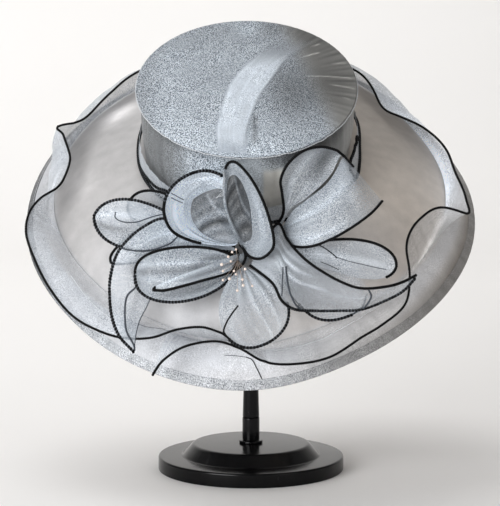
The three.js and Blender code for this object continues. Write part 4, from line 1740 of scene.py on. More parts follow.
    def seam(self, path: Sequence[tuple[float, float]]) -> Array:
        """A line over the brim through places of (azimuth, inset), in metres.

        Args:
            path: the places to run through.

        Returns:
            Its points.
        """
        place = smooth_rows(path, np.linspace(0, len(path) - 1, 24), False)
        width, _ = self.row(place[:, 0])
        here, _, up = self.frame(place[:, 0], width - place[:, 1])
        return HAT.world(here + up * self.seam_lift)

    def build(self, atelier: Atelier, trimmings: Trimmings) -> None:
        """Make and place the brim and its hem.

        Args:
            atelier: gives pieces their finish and place.
            trimmings: sews cords and stitches.
        """
        atelier.sheet(self.sheet(), Cloth.BRIM, "brim", held="stretched",
                      rests_on=["crown_side"], wall=self.cloth)
        atelier.sheet(self.hem(), Cloth.HEM, "brim_hem", held="folded", rests_on=["brim"])
        trimmings.stitches("brim_hem_stitches", self.stitch_line(), False, Cloth.HEM, 0.16)
        for way, (look, radius, path) in self.under_seams.items():
            trimmings.edge(f"brim_under_seam_{way}", self.seam(path), look, radius=radius)


@dataclass
class Ruffle:
    """One gathered strip sewn to the brim, with its corded free edge."""

    brim: Brim
    inset: float = 31.0
    height: float = 36.0
    follow: float = 0.55
    tuck: float = 3.0
    tuck_from: float = 300.0
    tuck_over: float = 30.0
    lift: float = 0.9
    steps: int = 1100

    rows = (
        # azimuth, lean
        (-22, 28), (-19, 15), (-14, 3), (-7, -3), (-1, 1), (5, 11), (12, 16), (20, 18.5),
        (28, 15), (34, 14), (41, 11), (45, -1), (49, -16), (54, -22.5), (60, -23), (66, -17),
        (70, 2), (74, -3), (82, -14), (92, -19.5), (103, -27), (114, -33), (125, -35),
        (140, -31), (155, -33), (175, -30.5), (195, -33), (218, -30), (232, -31), (245, -31),
        (251, -27.5), (254.5, -19), (258, -25), (267, -31), (277, -29), (283, -23), (285, -10),
        (287, 0), (291, 8), (299, 13), (306, 18), (314, 21.5), (322, 19), (330, 14.5), (337, 7),
        (343, -3), (349, -8), (354, -6), (356, -3),
    )

    folds = {
        # where the doubled part of the strip ends, as places on it
        "left": ((0.835, 0.5), (0.857, 0.6), (0.874, 0.68), (0.888, 0.7)),
        "right": ((0.21, 0.48), (0.157, 0.56), (0.13, 0.6), (0.1, 0.6)),
    }
    inner_seam = ((0.885, 0.62), (0.9, 0.55), (0.924, 0.4), (0.94, 0.3))
    creases = (
        # folds with painted highlights and painted shade along them
        Crease((0.255, 0.12), (0.318, 0.75), 0.4, 4.2, 1.2, 0.3),
        Crease((0.636, 0.05), (0.646, 1.1), 0.7, 6.0, 0.8, 0.3),
        Crease((0.69, 0.85), (0.73, 0.6), 0.3, 2.0, 0.3, 0.1),
        Crease((0.088, 0.5), (0.106, 1.05), -0.8, 3.0, -0.3),
        Crease((0.885, 0.9), (0.905, 0.3), -0.6, 3.0, -0.25),
    )

    def grid(self, share: Array, height: Array) -> Array:
        """Points at a share of the strip's length and of its height, both from 0 to 1.

        Args:
            share: shares of the length.
            height: shares of the height.

        Returns:
            A row of points for each share of the length.
        """
        row = smooth_rows(self.rows, share * (len(self.rows) - 1), False)
        azimuth, lean = row[:, 0], row[:, 1]
        covered = np.clip((azimuth - self.tuck_from) / self.tuck_over, 0, 1)
        width, _ = self.brim.row(azimuth)
        inset = self.inset + self.tuck * covered
        seam, _, seam_up = self.brim.frame(azimuth, width - inset)
        edge, out, up = self.brim.frame(azimuth, np.minimum(width - inset + lean, width))
        rise = np.sqrt(self.height**2 - lean**2)
        beyond = np.maximum(lean - inset, 0)
        free = edge + up * rise[:, None] + out * beyond[:, None]
        root = seam + seam_up * self.lift
        middle = root + seam_up * (self.follow * self.height)
        h = height[None, :, None]
        return ((1 - h) ** 2 * root[:, None] + 2 * h * (1 - h) * middle[:, None]
                + h**2 * free[:, None])

    def sheet(self) -> Sheet:
        """The strip with its gathers, which fade from the seam to the free edge.

        Returns:
            The shaped sheet.
        """
        share = np.linspace(0, 1, self.steps)
        height = np.linspace(0, 1, 26)
        grid = self.grid(share, height)
        s, h = np.meshgrid(share, height, indexing="ij")
        gathers = ripples(s, (113, 151, 197), 0.5) * (1 - ramp(h, 0.0, 0.75))
        gathers = gathers * ramp(h, 0.0, 0.08)
        soft = 0.5 * ripples(s, (41, 67), 1.4) * ramp(h, 0.1, 0.6) * (1 - ramp(h, 0.8, 1))
        tone = 1.0 + 0.14 * ripples(s, (47, 83, 131), 0.9) * (1 - 0.6 * h)
        # a warmer stretch on the right, a band of painted highlight, and a patch of painted shade
        right, far, turn = spread(s, 0.26, 0.1), spread(s, 0.41, 0.045), spread(s, 0.165, 0.045)
        low = 1 - ramp(h, 0, 0.5)
        left = window(s, (0.64, 0.7), (0.93, 0.98)) * low
        rooted = window(s, (0.64, 0.7), (0.77, 0.82)) * low
        front = window(s, (0.77, 0.83), (0.9, 0.94)) + window(s, (0.06, 0.1), (0.19, 0.24))
        front = front * (1 - ramp(h, 0.42, 0.6))
        # the tone: lighter where the front parts are sheer, the painted highlight band, patches of
        # painted shade, and painted light along the root on the left
        tone = (tone + 0.25 * front + 1.5 * far - 0.12 * spread(s, 0.26, 0.05) - 0.22 * turn
                + 0.6 * left)
        cover = 0.62 + 0.25 * (1 - ramp(h, 0, 0.2)) * (1 - front) - 0.42 * front - 0.5 * rooted
        for crease in self.creases:
            part = crease.over(s, h, np.full(s.shape, self.height))
            tone, soft = tone + crease.bright * part, soft + crease.rise * part
            cover = cover + crease.cover * part
        warmth = np.clip(0.1 + 0.6 * right + 0.35 * turn - 0.3 * far + 0.5 * front, 0, 1)
        values = {"tone": tone, "warmth": warmth, "glitter": 0.75 + 0.25 * far,
                  "cover": np.clip(cover, 0, 1)}
        sheet = Sheet("ruffle_cloth_strip", grid, HAT, False, values)
        return sheet.pushed(0.8 * gathers + soft)

    def build(self, atelier: Atelier, trimmings: Trimmings) -> None:
        """Make and place the strip and its cord.

        Args:
            atelier: gives pieces their finish and place.
            trimmings: sews cords and stitches.
        """
        sheet = self.sheet()
        atelier.sheet(sheet, Cloth.RUFFLE, "ruffle", held="gathered", rests_on=["brim"])
        trimmings.edge("ruffle_edge_cord", HAT.world(sheet.grid[:, -1]), SOLID,
                       "ruffle_cord", radius=1.15)
        line = HAT.world(self.grid(np.linspace(0, 1, 400), np.array([0.0]))[:, 0])
        trimmings.stitches("ruffle_seam_stitches", line, False, Cloth.RUFFLE, 0.42)
        for side, path in self.folds.items():
            trimmings.stitches(f"ruffle_fold_{side}", sheet.along(path), False, Cloth.RUFFLE, 0.3)
        trimmings.edge("ruffle_inner_seam", sheet.along(self.inner_seam), VEILED,
                       radius=0.3)


# The flower

@dataclass(frozen=True)
class Run:
    """A cord along a path over a piece, through places of (share of length, share of width)."""

    look: CordLook
    path: tuple[tuple[float, float], ...]
    radius: float = 1.3


@dataclass(frozen=True)
class Drape:
    """How a piece of the flower is gathered at the knot, and how its cloth looks, painted light and
    shade included.
    """

    density: float = 0.72
    # the piece's tone, partly its cloth's own and partly painted light and shade
    tone: float = 1.0
    warmth: float = 0.08
    glitter: float = 0.9
    pleats: tuple[float, ...] = (3, 5.3, 7.1)
    depth: float = 0.9
    reach: float = 0.55
    cords: tuple[Run, ...] = ()
    creases: tuple[Crease, ...] = ()

    def dress(self, sheet: Sheet) -> Sheet:
        """Add the pleats and creases to a plain sheet, and its values.

        Args:
            sheet: the plain sheet.

        Returns:
            The same sheet.
        """
        rows, columns = sheet.grid.shape[:2]
        along, across = np.meshgrid(np.linspace(0, 1, rows), np.linspace(0, 1, columns),
                                    indexing="ij")
        widths = np.linalg.norm(np.diff(sheet.grid, axis=1), axis=-1).sum(1)[:, None]
        fade = 1 - ramp(along, 0.02, self.reach)
        room = np.clip(widths / 14, 0.25, 1)
        pleat = ripples(across, self.pleats, 0.7 + self.tone) * fade
        edge = ramp(np.minimum(across, 1 - across), 0, 0.08)
        push = self.depth * pleat * room * edge
        # painted shading that follows the pleats
        tone = self.tone * (1 + 0.22 * pleat)
        density = self.density + (0.97 - self.density) * fade**2
        for crease in self.creases:
            part = crease.over(along, across, widths)
            push = push + crease.rise * part
            tone = tone + crease.bright * part
            density = density + crease.cover * part
        sheet.values = {"tone": tone, "warmth": self.warmth, "glitter": self.glitter,
                        "cover": np.clip(density, 0, 1)}
        return sheet.pushed(push)


@dataclass(frozen=True)
class Petal:
    """A flat petal on a spine that bends and arches, with a cupped cross-section."""

    root: tuple[float, float, float]
    heading: float
    rise: float
    length: float
    left: float
    right: float
    bend: float
    arch: float
    cup: float
    root_power: float
    tip_power: float
    drape: Drape = Drape()
    rows: int = 90
    columns: int = 33
    least_half: float = 1.2
    crowding: float = 1.6

    def sheet(self, name: str) -> Sheet:
        """The petal as a plain sheet.

        Args:
            name: the piece's name.

        Returns:
            The shaped sheet.
        """
        count = 128
        f = np.linspace(0, 1, count + 1)
        turn = np.radians(self.heading + self.bend * f)
        rise = np.radians(self.rise + self.arch * f)
        way = np.stack([np.cos(rise) * np.cos(turn), np.cos(rise) * np.sin(turn), np.sin(rise)], -1)
        hops = (way[1:] + way[:-1]) / 2 * self.length / count
        spine = np.array(self.root) + np.vstack([np.zeros(3), np.cumsum(hops, 0)])
        share = 1 - (1 - np.linspace(0, 1, self.rows)) ** self.crowding
        middle = np.stack([np.interp(share, f, spine[:, k]) for k in range(3)], -1)
        turn = np.radians(self.heading + self.bend * share)
        rise = np.radians(self.rise + self.arch * share)
        sideways = np.stack([-np.sin(turn), np.cos(turn), 0 * turn], -1)
        forward = np.stack([-np.sin(rise) * np.cos(turn), -np.sin(rise) * np.sin(turn),
                            np.cos(rise)], -1)
        widest = self.root_power / (self.root_power + self.tip_power)
        most = widest**self.root_power * (1 - widest) ** self.tip_power
        outline = share**self.root_power * (1 - share) ** self.tip_power / most
        place = np.linspace(-1, 1, self.columns)
        half = np.where(place > 0, self.left, self.right)
        width = np.maximum(outline[:, None] * half, self.least_half)
        cup = math.radians(self.cup)
        reach = width * np.sin(cup * np.abs(place)) / cup * np.sign(place)
        lift = width * (1 - np.cos(cup * np.abs(place))) / cup
        grid = (middle[:, None] + sideways[:, None] * reach[..., None]
                + forward[:, None] * lift[..., None])
        return Sheet(name, grid, FLOWER)


@dataclass(frozen=True)
class Leaf:
    """A folded leaf between two edges, with a belly toward the front."""

    table: tuple[tuple[float, ...], ...]
    drape: Drape = Drape()
    rows: int = 100
    columns: int = 33

    def sheet(self, name: str) -> Sheet:
        """The leaf as a plain sheet.

        Args:
            name: the piece's name.

        Returns:
            The shaped sheet.
        """
        row = smooth_rows(self.table, np.linspace(0, len(self.table) - 1, self.rows), False)
        across = np.linspace(0, 1, self.columns)[None, :, None]
        left, right = row[:, None, 0:3], row[:, None, 3:6]
        grid = left + (right - left) * across
        grid[..., 2] += row[:, 6:7] * (4 * across * (1 - across))[..., 0]
        return Sheet(name, grid, FLOWER)


@dataclass(frozen=True)
class Loop:
    """A ribbon bent round into an open loop, with a front edge and a back edge."""

    table: tuple[tuple[float, ...], ...]
    drape: Drape = Drape()
    # tone of the painted shade inside the loop
    hollow_shade: float = 0.5
    hollow_phase: float = 0.6
    rows: int = 160
    columns: int = 26

    def sheet(self, name: str) -> Sheet:
        """The loop as a plain sheet, closed on itself.

        Args:
            name: the piece's name.

        Returns:
            The shaped sheet.
        """
        place = np.arange(self.rows) * len(self.table) / self.rows
        row = smooth_rows(self.table, place, True)
        across = np.linspace(0, 1, self.columns)[None, :, None]
        grid = row[:, None, 0:3] + (row[:, None, 3:6] - row[:, None, 0:3]) * across
        return Sheet(name, grid, FLOWER, True)

    def inside(self, name: str, loop: Sheet) -> Sheet:
        """The crumpled cloth at the back of the loop, with painted shade in its tone.

        Args:
            name: the piece's name.
            loop: the loop's own sheet.

        Returns:
            The shaped sheet.
        """
        ring = loop.grid[:, -1]
        size = ring.max(0) - ring.min(0)
        middle = ring.mean(0) + np.array([0, 0, 1.5])
        inward = np.linspace(0, 0.97, 22)[None, :, None]
        grid = ring[:, None] + (middle - ring)[:, None] * inward
        s = inward[..., 0]
        side, up = ((grid[..., k] - middle[k]) / size[k] for k in (0, 1))
        fold = ripples(up + 0.5 * side * side - 0.3 * side, (1.3, 2.9, 4.3), self.hollow_phase)
        grid[..., 2] += 1.4 * fold * np.sin(math.pi * s) ** 0.7
        # painted shade inside the loop: darker toward the top and in the fold hollows, a little
        # lighter at the rim
        tone = self.hollow_shade * (1 + 0.9 * fold) * (1 - 1.15 * np.clip(up, -0.4, 0.5)) + 0.06 * (1 - s)
        # a paler line along a curl
        swirl = side + 0.9 * up - 0.16 + 1.6 * (side + 0.1) * (up - 0.1)
        tone = tone + 0.22 * spread(swirl, 0, 0.05) * ramp(s, 0, 0.2)
        values = {"tone": tone, "warmth": 0.1, "glitter": 1.0, "cover": 0.97}
        return Sheet(name, grid, FLOWER, True, values, (size[0], size[1]))


FIRST, SECOND = ((0, 0), (0.5, 0), (1, 0)), ((1, 1), (0.5, 1), (0, 1))


def rim(look: CordLook) -> tuple[Run, Run]:
    """A cord all along a piece's two edges."""
    return Run(look, FIRST), Run(look, SECOND)


@dataclass
class Flower:
    """The ribbon flower: petals, folded leaves, loops, the bound knot and its stamens."""

    core_radius: float = 4.4
    core_back: float = -16.5
    core_front: float = 11.0
    pearl_radius: float = 1.15
    fray_count: int = 11
    fray_start: tuple[float, float, float] = (-15.5, 60.0, 20.0)
    wire_start: tuple[float, float, float] = (-4.5, -2.5, 12.0)
    wire_arch: float = 5.0

    petals = {
        # root, heading, rise, length, left, right, bend, arch, cup, root power, tip power;
        # of its drape density, tone, warmth, glitter; of a cord look, path, radius;
        # of a crease start, end, rise, width, painted light, cover
        "petal_left_loop": Petal((-6, 3, -10.5), 159.5, 6, 116.5, 20, 18.5, 11.5, -16, 8, 1.62,
                                 0.59, Drape(
            0.62, 0.9, 0.06, 0.8, cords=rim(FLECKED) + (
                Run(VEILED, ((0.705, 0.32), (0.7, 0.44), (0.64, 0.5), (0.56, 0.47), (0.5, 0.38),
                             (0.39, 0.1)), 0.6),),
            creases=(Crease((0.4, 0.3), (0.98, 0.42), 1.0, 4, 0.32),
                     Crease((0.92, 0.74), (0.45, 0.6), 0.0, 3, -0.34),
                     Crease((0.5, 0.8), (1.1, 0.7), -0.5, 6, -0.25)))),
        "petal_left_back": Petal((-6, 0, -13), 159.5, 1, 104.5, 9, 19.5, 46, -14, 6, 0.93, 0.69,
                                 Drape(
            0.55, 0.95, 0.1, 0.7, cords=(
                Run(SOLID, ((0.45, 0), (0.73, 0.08), (0.85, 0.08), (0.905, 0.14), (0.925, 0.5),
                            (0.905, 0.88), (0.8, 0.98))),
                Run(VEILED, ((0.8, 0.98), (0.6, 1), (0.35, 1)), 0.9)),
            creases=(Crease((0.92, 0.5), (1.4, 0.5), 0.0, 60, 0.0, -0.5),))),
        "petal_left_rear": Petal((-6, 5, -15.5), 155.5, -1, 96, 14, 18.5, 0, -18, 4, 0.98, 0.45,
                                 Drape(0.5, 0.62, 0.15, 0.6, cords=rim(SOLID))),
        "petal_left_front": Petal((-6, -3, 2), 194.5, 10, 80, 23, 19.5, -14.5, -16, 9, 0.55, 0.39,
                                  Drape(
            0.74, 0.72, 0.03, 1.0, depth=1.2, cords=(Run(SOLID, FIRST), Run(FLECKED, SECOND)),
            creases=(Crease((0.1, 0.35), (0.95, 0.22), 0.9, 2.6, 0.3),
                     Crease((0.02, 0.18), (0.32, 0.42), 0.0, 3.5, -0.4),
                     Crease((0.1, 0.5), (0.85, 0.42), -0.9, 2.2, -0.3),
                     Crease((0.2, 0.62), (0.95, 0.6), 0.8, 2.2, 0.22),
                     Crease((0.72, 0.55), (1.05, 0.6), 0.0, 7, -0.26),
                     Crease((0.15, 0.85), (0.7, 0.9), -0.6, 3, -0.25)))),
        "petal_right_back": Petal((7, 0, -5), 10, 9, 113.5, 14.5, 15, -28, -16, 10, 1.62, 0.52,
                                  Drape(
            0.62, 0.98, 0.2, 0.9, cords=(
                Run(SOLID, ((0.86, 0), (0.94, 0), (1, 0), (1, 0.5), (1, 1))), Run(SOLID, SECOND),
                Run(FLECKED, ((0.29, 0.95), (0.326, 0.81), (0.371, 0.62), (0.416, 0.44)), 0.6),
                Run(VEILED, ((0.416, 0.44), (0.5, 0.38), (0.65, 0.36), (0.82, 0.34)), 0.4),
                Run(SOLID, ((0.33, 0.2), (0.371, 0.16), (0.438, 0.09)), 0.35)),
            creases=(Crease((0.3, 0.5), (0.95, 0.45), 0.9, 3, 0.25),
                     Crease((0.1, 0.6), (0.36, 0.6), 0.0, 10, 0.32),
                     Crease((0.4, 0.75), (0.9, 0.8), -0.6, 3, -0.2)))),
        "petal_right_under": Petal((5, -5, -11), -6, 4, 99, 30.5, 26.5, -30.5, 0, 6, 1.87, 0.99,
                                   Drape(
            0.45, 1.2, 0.2, 0.7, cords=(
                Run(VEILED, ((0.15, 0.55), (0.19, 0.25), (0.236, 0), (0.34, 0)), 0.6),
                Run(FLECKED, ((0.34, 0), (0.5, 0), (0.7, 0), (0.8, 0.03))),
                Run(VEILED, ((0.8, 0.03), (0.85, 0.2), (0.868, 0.55), (0.82, 0.9)), 0.8)),
            creases=(Crease((0.87, 0.3), (1.6, 0.3), 0.0, 15, 0.0, -0.42),
                     Crease((0.5, 1.0), (1.1, 1.0), 0.0, 6, 0.0, -0.45)))),
        "petal_bottom": Petal((0, -7, 7), -81, 25, 65, 24.5, 29.5, 22.5, -8, 6, 0.75, 0.45,
                              Drape(
            0.4, 0.8, 0.14, 0.85, reach=0.8, depth=1.3, cords=(
                Run(SOLID, ((0.315, 0.28), (0.36, 0.19), (0.427, 0.08), (0.5, 0), (0.6, 0)), 0.8),
                Run(FLECKED, ((0.6, 0), (0.8, 0), (1, 0))),
                Run(FLECKED, ((1, 1), (0.8, 1), (0.5, 1)))),
            creases=(Crease((0.1, 0.5), (0.95, 0.62), 1.3, 1.6, 0.4),
                     Crease((0.1, 0.36), (0.9, 0.32), -0.9, 2.6, -0.22),
                     Crease((0.1, 0.7), (0.85, 0.84), 0.9, 2.2, 0.25),
                     Crease((0.3, 0.15), (0.8, 0.08), 0.7, 2.0, 0.2)))),
    }
    leaves = {
        "leaf_left_long": Leaf((
            # leftX, leftY, leftOut, rightX, rightY, rightOut, belly
            (-8.5, 9.5, -5, -6.5, 5.5, -6, 0), (-37, 26.5, -6.5, -24.5, 7, -6.5, 0),
            (-62.5, 31, -4, -49.5, 6, -6, 2), (-79, 24, -2, -66, 4, -5, 3),
            (-91.5, 13.5, -1, -76.5, -4, -5, 3), (-99.5, 2.5, -1, -82, -14, -5, 3),
            (-104, -13, -1, -73, -27, -5, 3), (-105, -26.5, 0, -75.5, -37, -3, 3),
            (-103, -45, 4, -81, -48, 1, 2), (-97, -60.5, 7, -84, -59.5, 6, 1),
            (-86, -72.5, 9, -85, -71.5, 8, 0),
        ), Drape(0.48, 1.0, 0.06, 0.8, cords=(
                     Run(FLECKED, FIRST), Run(VEILED, ((1, 1), (0.8, 1), (0.6, 1)), 0.5),
                     Run(VEILED, ((0.55, 0.8), (0.62, 0.6), (0.7, 0.45), (0.8, 0.47), (0.9, 0.54),
                                  (1, 1)), 0.9),
                     Run(VEILED, ((0.455, 0), (0.424, 0.28), (0.364, 0.66), (0.303, 0.84),
                                  (0.232, 0.78), (0.182, 0.56)), 0.8)),
                 creases=(Crease((0.05, 0.5), (0.5, 0.45), 0.9, 3, 0.25),
                          Crease((0.45, 0.75), (0.95, 0.7), -0.6, 2.5, -0.25)))),
        "leaf_left_lip": Leaf((
            (-5, 3, 5, -5, -3, 9, 0), (-12.5, 0.5, 9, -11.5, -11, 15, 3),
            (-34, -8, 13, -34, -18, 20, 3), (-51, -14.5, 14, -48.5, -22, 20, 2),
            (-65, -20.5, 12, -61, -25, 16, 1), (-70.5, -23.5, 10, -70, -25, 12, 0),
        ), Drape(0.84, 0.74, 0.08, 0.8, cords=(Run(SOLID, ((0.94, 0.2), (1, 0.5), (0.97, 1),
                                                      (0.5, 1), (0, 1)), 1.35),),
                 creases=(Crease((0.05, 0.5), (0.6, 0.45), -1.0, 3, -0.35),
                          Crease((0.3, 0.12), (0.98, 0.1), 0.8, 1.6, 0.35)))),
        "leaf_upper_wall": Leaf((
            (26.5, 26.5, -3, 29.5, 25.5, -3, 0), (31, 36.5, 5, 36.5, 38, 1, 0),
            (29.5, 50.5, 12, 47.5, 46, 2, -3), (28.5, 60.5, 15, 59, 55.5, 3, -6),
            (34, 72.5, 16, 68, 65.5, 3, -7), (45.5, 82.5, 15, 72.5, 74.5, 4, -5),
            (59, 86, 13, 75, 79, 5, -3), (71.5, 84, 10, 78, 79, 6, 0),
        ), Drape(0.82, 0.8, 0.22, 1.0, cords=(
                     Run(SOLID, ((0, 0), (0.5, 0), (0.96, 0), (1, 1))),),
                 creases=(Crease((0.45, 0.75), (1.0, 0.5), 0.0, 9, -0.6),
                          Crease((0.1, 0.3), (0.8, 0.25), 0.8, 3.0, 0.2)))),
        "leaf_upper_lip": Leaf((
            (29.5, 23, 1, 31, 16.5, 2, 0), (37.5, 36, 4, 37.5, 9.5, 8, 4),
            (48, 44.5, 6, 52, 9, 16, 7), (57.5, 51.5, 7, 67, 14.5, 21, 9),
            (65.5, 59, 7, 79, 21, 22, 9), (71, 67, 7, 90.5, 28.5, 18, 8),
            (75.5, 76, 9, 100, 36, 12, 7), (78.2, 78.6, 6.4, 107.5, 44, 4, 3),
        ), Drape(0.74, 0.88, 0.06, 1.0, cords=(
                     Run(SOLID, SECOND), Run(SOLID, ((1, 0), (1, 0.1), (1, 0.22)))),
                 creases=(Crease((0.05, 0.3), (0.75, 0.3), 1.0, 3.0, 0.2),
                          Crease((0.9, 0.34), (0.4, 0.76), 0.4, 1.2, -0.16),
                          Crease((0.05, 0.6), (0.7, 0.6), -1.0, 3.0, -0.22),
                          Crease((0.05, 0.8), (0.6, 0.85), 0.9, 2.4, 0.2),
                          Crease((0.72, 0.6), (1.3, 0.6), 0.0, 40, -0.05, -0.36)))),
        "leaf_right_long": Leaf((
            (14, 11.5, 9, 5, -6, 12, 0), (26.5, 26.5, 8, 22, -19.5, 20, 1),
            (33.5, 14.5, 10, 28.8, -32.5, 28, 0), (44, 2, 14, 39, -39.5, 23, 2),
            (56.5, -8, 17, 56, -41, 10, 7), (75, -18.5, 18, 73, -41, 8, 6),
            (91, -23.5, 17, 91.5, -40, 8, 4), (111, -22, 13, 110.5, -33, 8, 2),
            (123.5, -18.5, 9, 123.5, -26, 8, 1), (133.5, -13.5, 7, 132.5, -16.5, 7, 0),
        ), Drape(0.38, 0.7, 0.2, 0.6, cords=(
                     Run(SOLID, FIRST), Run(FLECKED, ((1, 1), (0.7, 1), (0.3, 1))),
                     Run(SOLID, ((0.3, 1), (0.15, 1), (0, 1))),
                     Run(VEILED, ((0.235, 0.44), (0.264, 0.66), (0.308, 0.83), (0.369, 0.99)), 0.9),
                     Run(VEILED, ((0.208, 0.5), (0.213, 0.7), (0.222, 0.92)), 0.6),
                     Run(VEILED, ((0.698, 0.1), (0.708, 0.45), (0.695, 0.75), (0.67, 1)), 0.9)),
                 creases=(Crease((0.08, 0.25), (0.4, 0.1), 0.3, 1.8, 0.5, 0.2),
                          Crease((0.08, 0.4), (0.44, 0.24), 0.3, 1.4, 0.6, 0.2),
                          Crease((0.1, 0.55), (0.5, 0.44), 0.25, 1.6, 0.5, 0.2),
                          Crease((0.02, 0.4), (0.34, 0.4), 0.0, 14, 0.16),
                          Crease((0.08, 0.75), (0.35, 0.65), -0.3, 2.6, -0.2),
                          Crease((0.4, 0.45), (0.95, 0.5), 0.8, 5.0, 0.14)))),
    }
    loops = {
        "loop_round": Loop((
            # frontX, frontY, frontOut, backX, backY, backOut
            (-6, 10.5, 4, -5.5, 11.5, 0), (-24, 10, 9, -17, 12, -2),
            (-41.5, 13.5, 14, -29.5, 17, -4), (-55.5, 21, 19, -37.5, 24.5, -4),
            (-61.5, 34.5, 22, -41.5, 33.5, -4), (-59, 49, 23, -40.5, 44, -4),
            (-49, 60.5, 22, -35, 49, -3), (-34, 67, 20, -27.5, 52.5, -2),
            (-21, 65.5, 16, -18.5, 54, 0), (-14, 59, 11, -12.5, 47.5, 0),
            (-10, 42.5, 8, -8.5, 34.5, -1), (-7, 24, 6, -6, 21, -1),
        ), Drape(0.92, 1.28, 0.02, 0.9, reach=0.2,
                 cords=(Run(SOLID, ((0.13, 0), (0.2, 0), (0.3, 0), (0.38, 0)), 1.4),
                        Run(FLECKED, ((0.38, 0), (0.5, 0), (0.6, 0), (0.7, 0)), 1.4),
                        Run(VEILED, ((0.427, 0.12), (0.42, 0.4), (0.413, 0.64)), 0.4),
                        Run(VEILED, ((0.406, 0.2), (0.4, 0.42), (0.394, 0.64)), 0.4)),
                 creases=(Crease((-0.1, 0.5), (0.56, 0.5), 0.0, 40, 0.55),
                          Crease((0.02, 0.3), (0.3, 0.3), -0.5, 1.3, -1.1),
                          Crease((0.0, 0.5), (0.24, 0.55), 0.5, 1.2, 0.4),
                          Crease((0.02, 0.74), (0.26, 0.66), -0.5, 1.6, -1.1),
                          Crease((0.15, 0.3), (0.45, 0.4), 0.8, 2.4, 0.3),
                          Crease((0.3, 0.75), (0.6, 0.6), -0.8, 2.4, -0.25),
                          Crease((0.5, 0.3), (0.75, 0.5), 0.8, 2.0, 0.3))), 0.27, 0.6),
        "loop_upright": Loop((
            (-0.5, 7, 13.5, -0.5, 12.5, 8.5), (4.5, 1, 19, 2.5, 13, 9),
            (13, -0.5, 25, 5, 14.5, 10), (21, 5.5, 29, 6.5, 18.5, 11),
            (23, 13.5, 31, 6, 28, 12), (19.5, 30, 32, 4.5, 41, 13), (13, 47.5, 31, 1.5, 51, 14),
            (4, 63, 28, -2.5, 59.5, 15), (-5.5, 73, 25, -7, 64, 16), (-12, 73, 22, -11, 62.5, 15),
            (-15.5, 64, 20, -13, 55.5, 14), (-16.5, 51, 18, -13.5, 45, 13),
            (-15, 37, 16, -11.5, 34, 11), (-8.5, 20, 13, -5.5, 21.5, 8),
        ), Drape(0.9, 0.6, 0.05, 1.0, reach=0.1,
                 cords=(Run(SOLID, ((0, 0), (0.2, 0), (0.4, 0), (0.68, 0))),),
                 creases=(Crease((0.1, 0.5), (0.5, 0.5), 0.0, 5.0, 0.15),
                          Crease((0.7, 0.3), (0.98, 0.5), 0.9, 1.8, 0.4))), 0.09, 2.1),
    }
    pearls = (
        # x and y of each pearl from the knot, and how far it stands out
        (-6, 6.6, 26), (-9, 4.6, 27), (-12, 1, 28), (-10, -2.5, 29), (-17, -5, 27),
        (-7.5, -10, 30), (-6, -12.5, 30), (-16, -10, 28), (-11, -16, 29), (-16, -17, 27),
        (-1, -16.5, 30), (1, -8.5, 31), (-0.5, -21, 28), (6.5, -21.5, 27), (-5, -25, 26),
    )

    knot_cord = (
        # x, y and how far it stands out, round the front of the knot
        (-12, -11.6, 15.5), (-7, -9.6, 15), (-2.5, -6.5, 14.5), (0.6, -2, 14), (1.2, 2.5, 13.5),
        (-0.5, 7, 12.5), (-3, 10, 11),
    )

    def knot(self) -> Sheet:
        """The bound stem, ridged by the gathered ends of the ribbons.

        Returns:
            The shaped sheet.
        """
        turn = np.linspace(0, 360, 97)[:-1]
        out = np.linspace(self.core_back, self.core_front, 24)
        t, z = np.meshgrid(turn, out, indexing="ij")
        radius = self.core_radius - 0.35 + 0.35 * np.cos(np.radians(t * 11))
        radius = radius * (1 - 0.35 * ramp(z, self.core_front - 3, self.core_front))
        grid = np.stack([radius * np.cos(np.radians(t)), radius * np.sin(np.radians(t)), z], -1)
        ends = [grid[:, :1] * [0.02, 0.02, 1], grid, grid[:, -1:] * [0.02, 0.02, 1]]
        grid = np.concatenate(ends, 1)
        values = {"tone": 0.3, "warmth": 0.1, "glitter": 0.3, "cover": 1.0}
        return Sheet("flower_knot", grid, FLOWER, True, values)

    def frays(self) -> list[Array]:
        """Loose pale threads at the cut end of the ribbon, beside the upright loop.

        Returns:
            A line of points for each thread.
        """
        lines = []
        for k in range(self.fray_count):
            turn = math.radians(70 + 17 * k)
            reach = 6 + 3 * math.sin(2.4 * k)
            f = np.linspace(0, 1, 8)[:, None]
            start = np.array(self.fray_start) - np.array([0, 1.1 * k, 0])
            way = np.array([math.cos(turn), math.sin(turn), 0.25 * math.sin(k)])
            curl = np.array([-way[1], way[0], 0.3]) * math.sin(1.7 * k + 1) * 2.5
            lines.append(FLOWER.world(start + way * reach * f + curl * f * f))
        return lines

    def wires(self) -> list[Array]:
        """A curved wire from the knot to each pearl, in metres.

        Returns:
            A line of points for each wire.
        """
        lines = []
        for x, y, out in self.pearls:
            f = np.linspace(0, 1, 9)[:, None]
            start, end = np.array(self.wire_start), np.array([x, y, out])
            middle = (start + end) / 2 + np.array([0, 0, self.wire_arch])
            line = (1 - f) ** 2 * start + 2 * f * (1 - f) * middle + f**2 * end
            lines.append(FLOWER.world(line))
        return lines

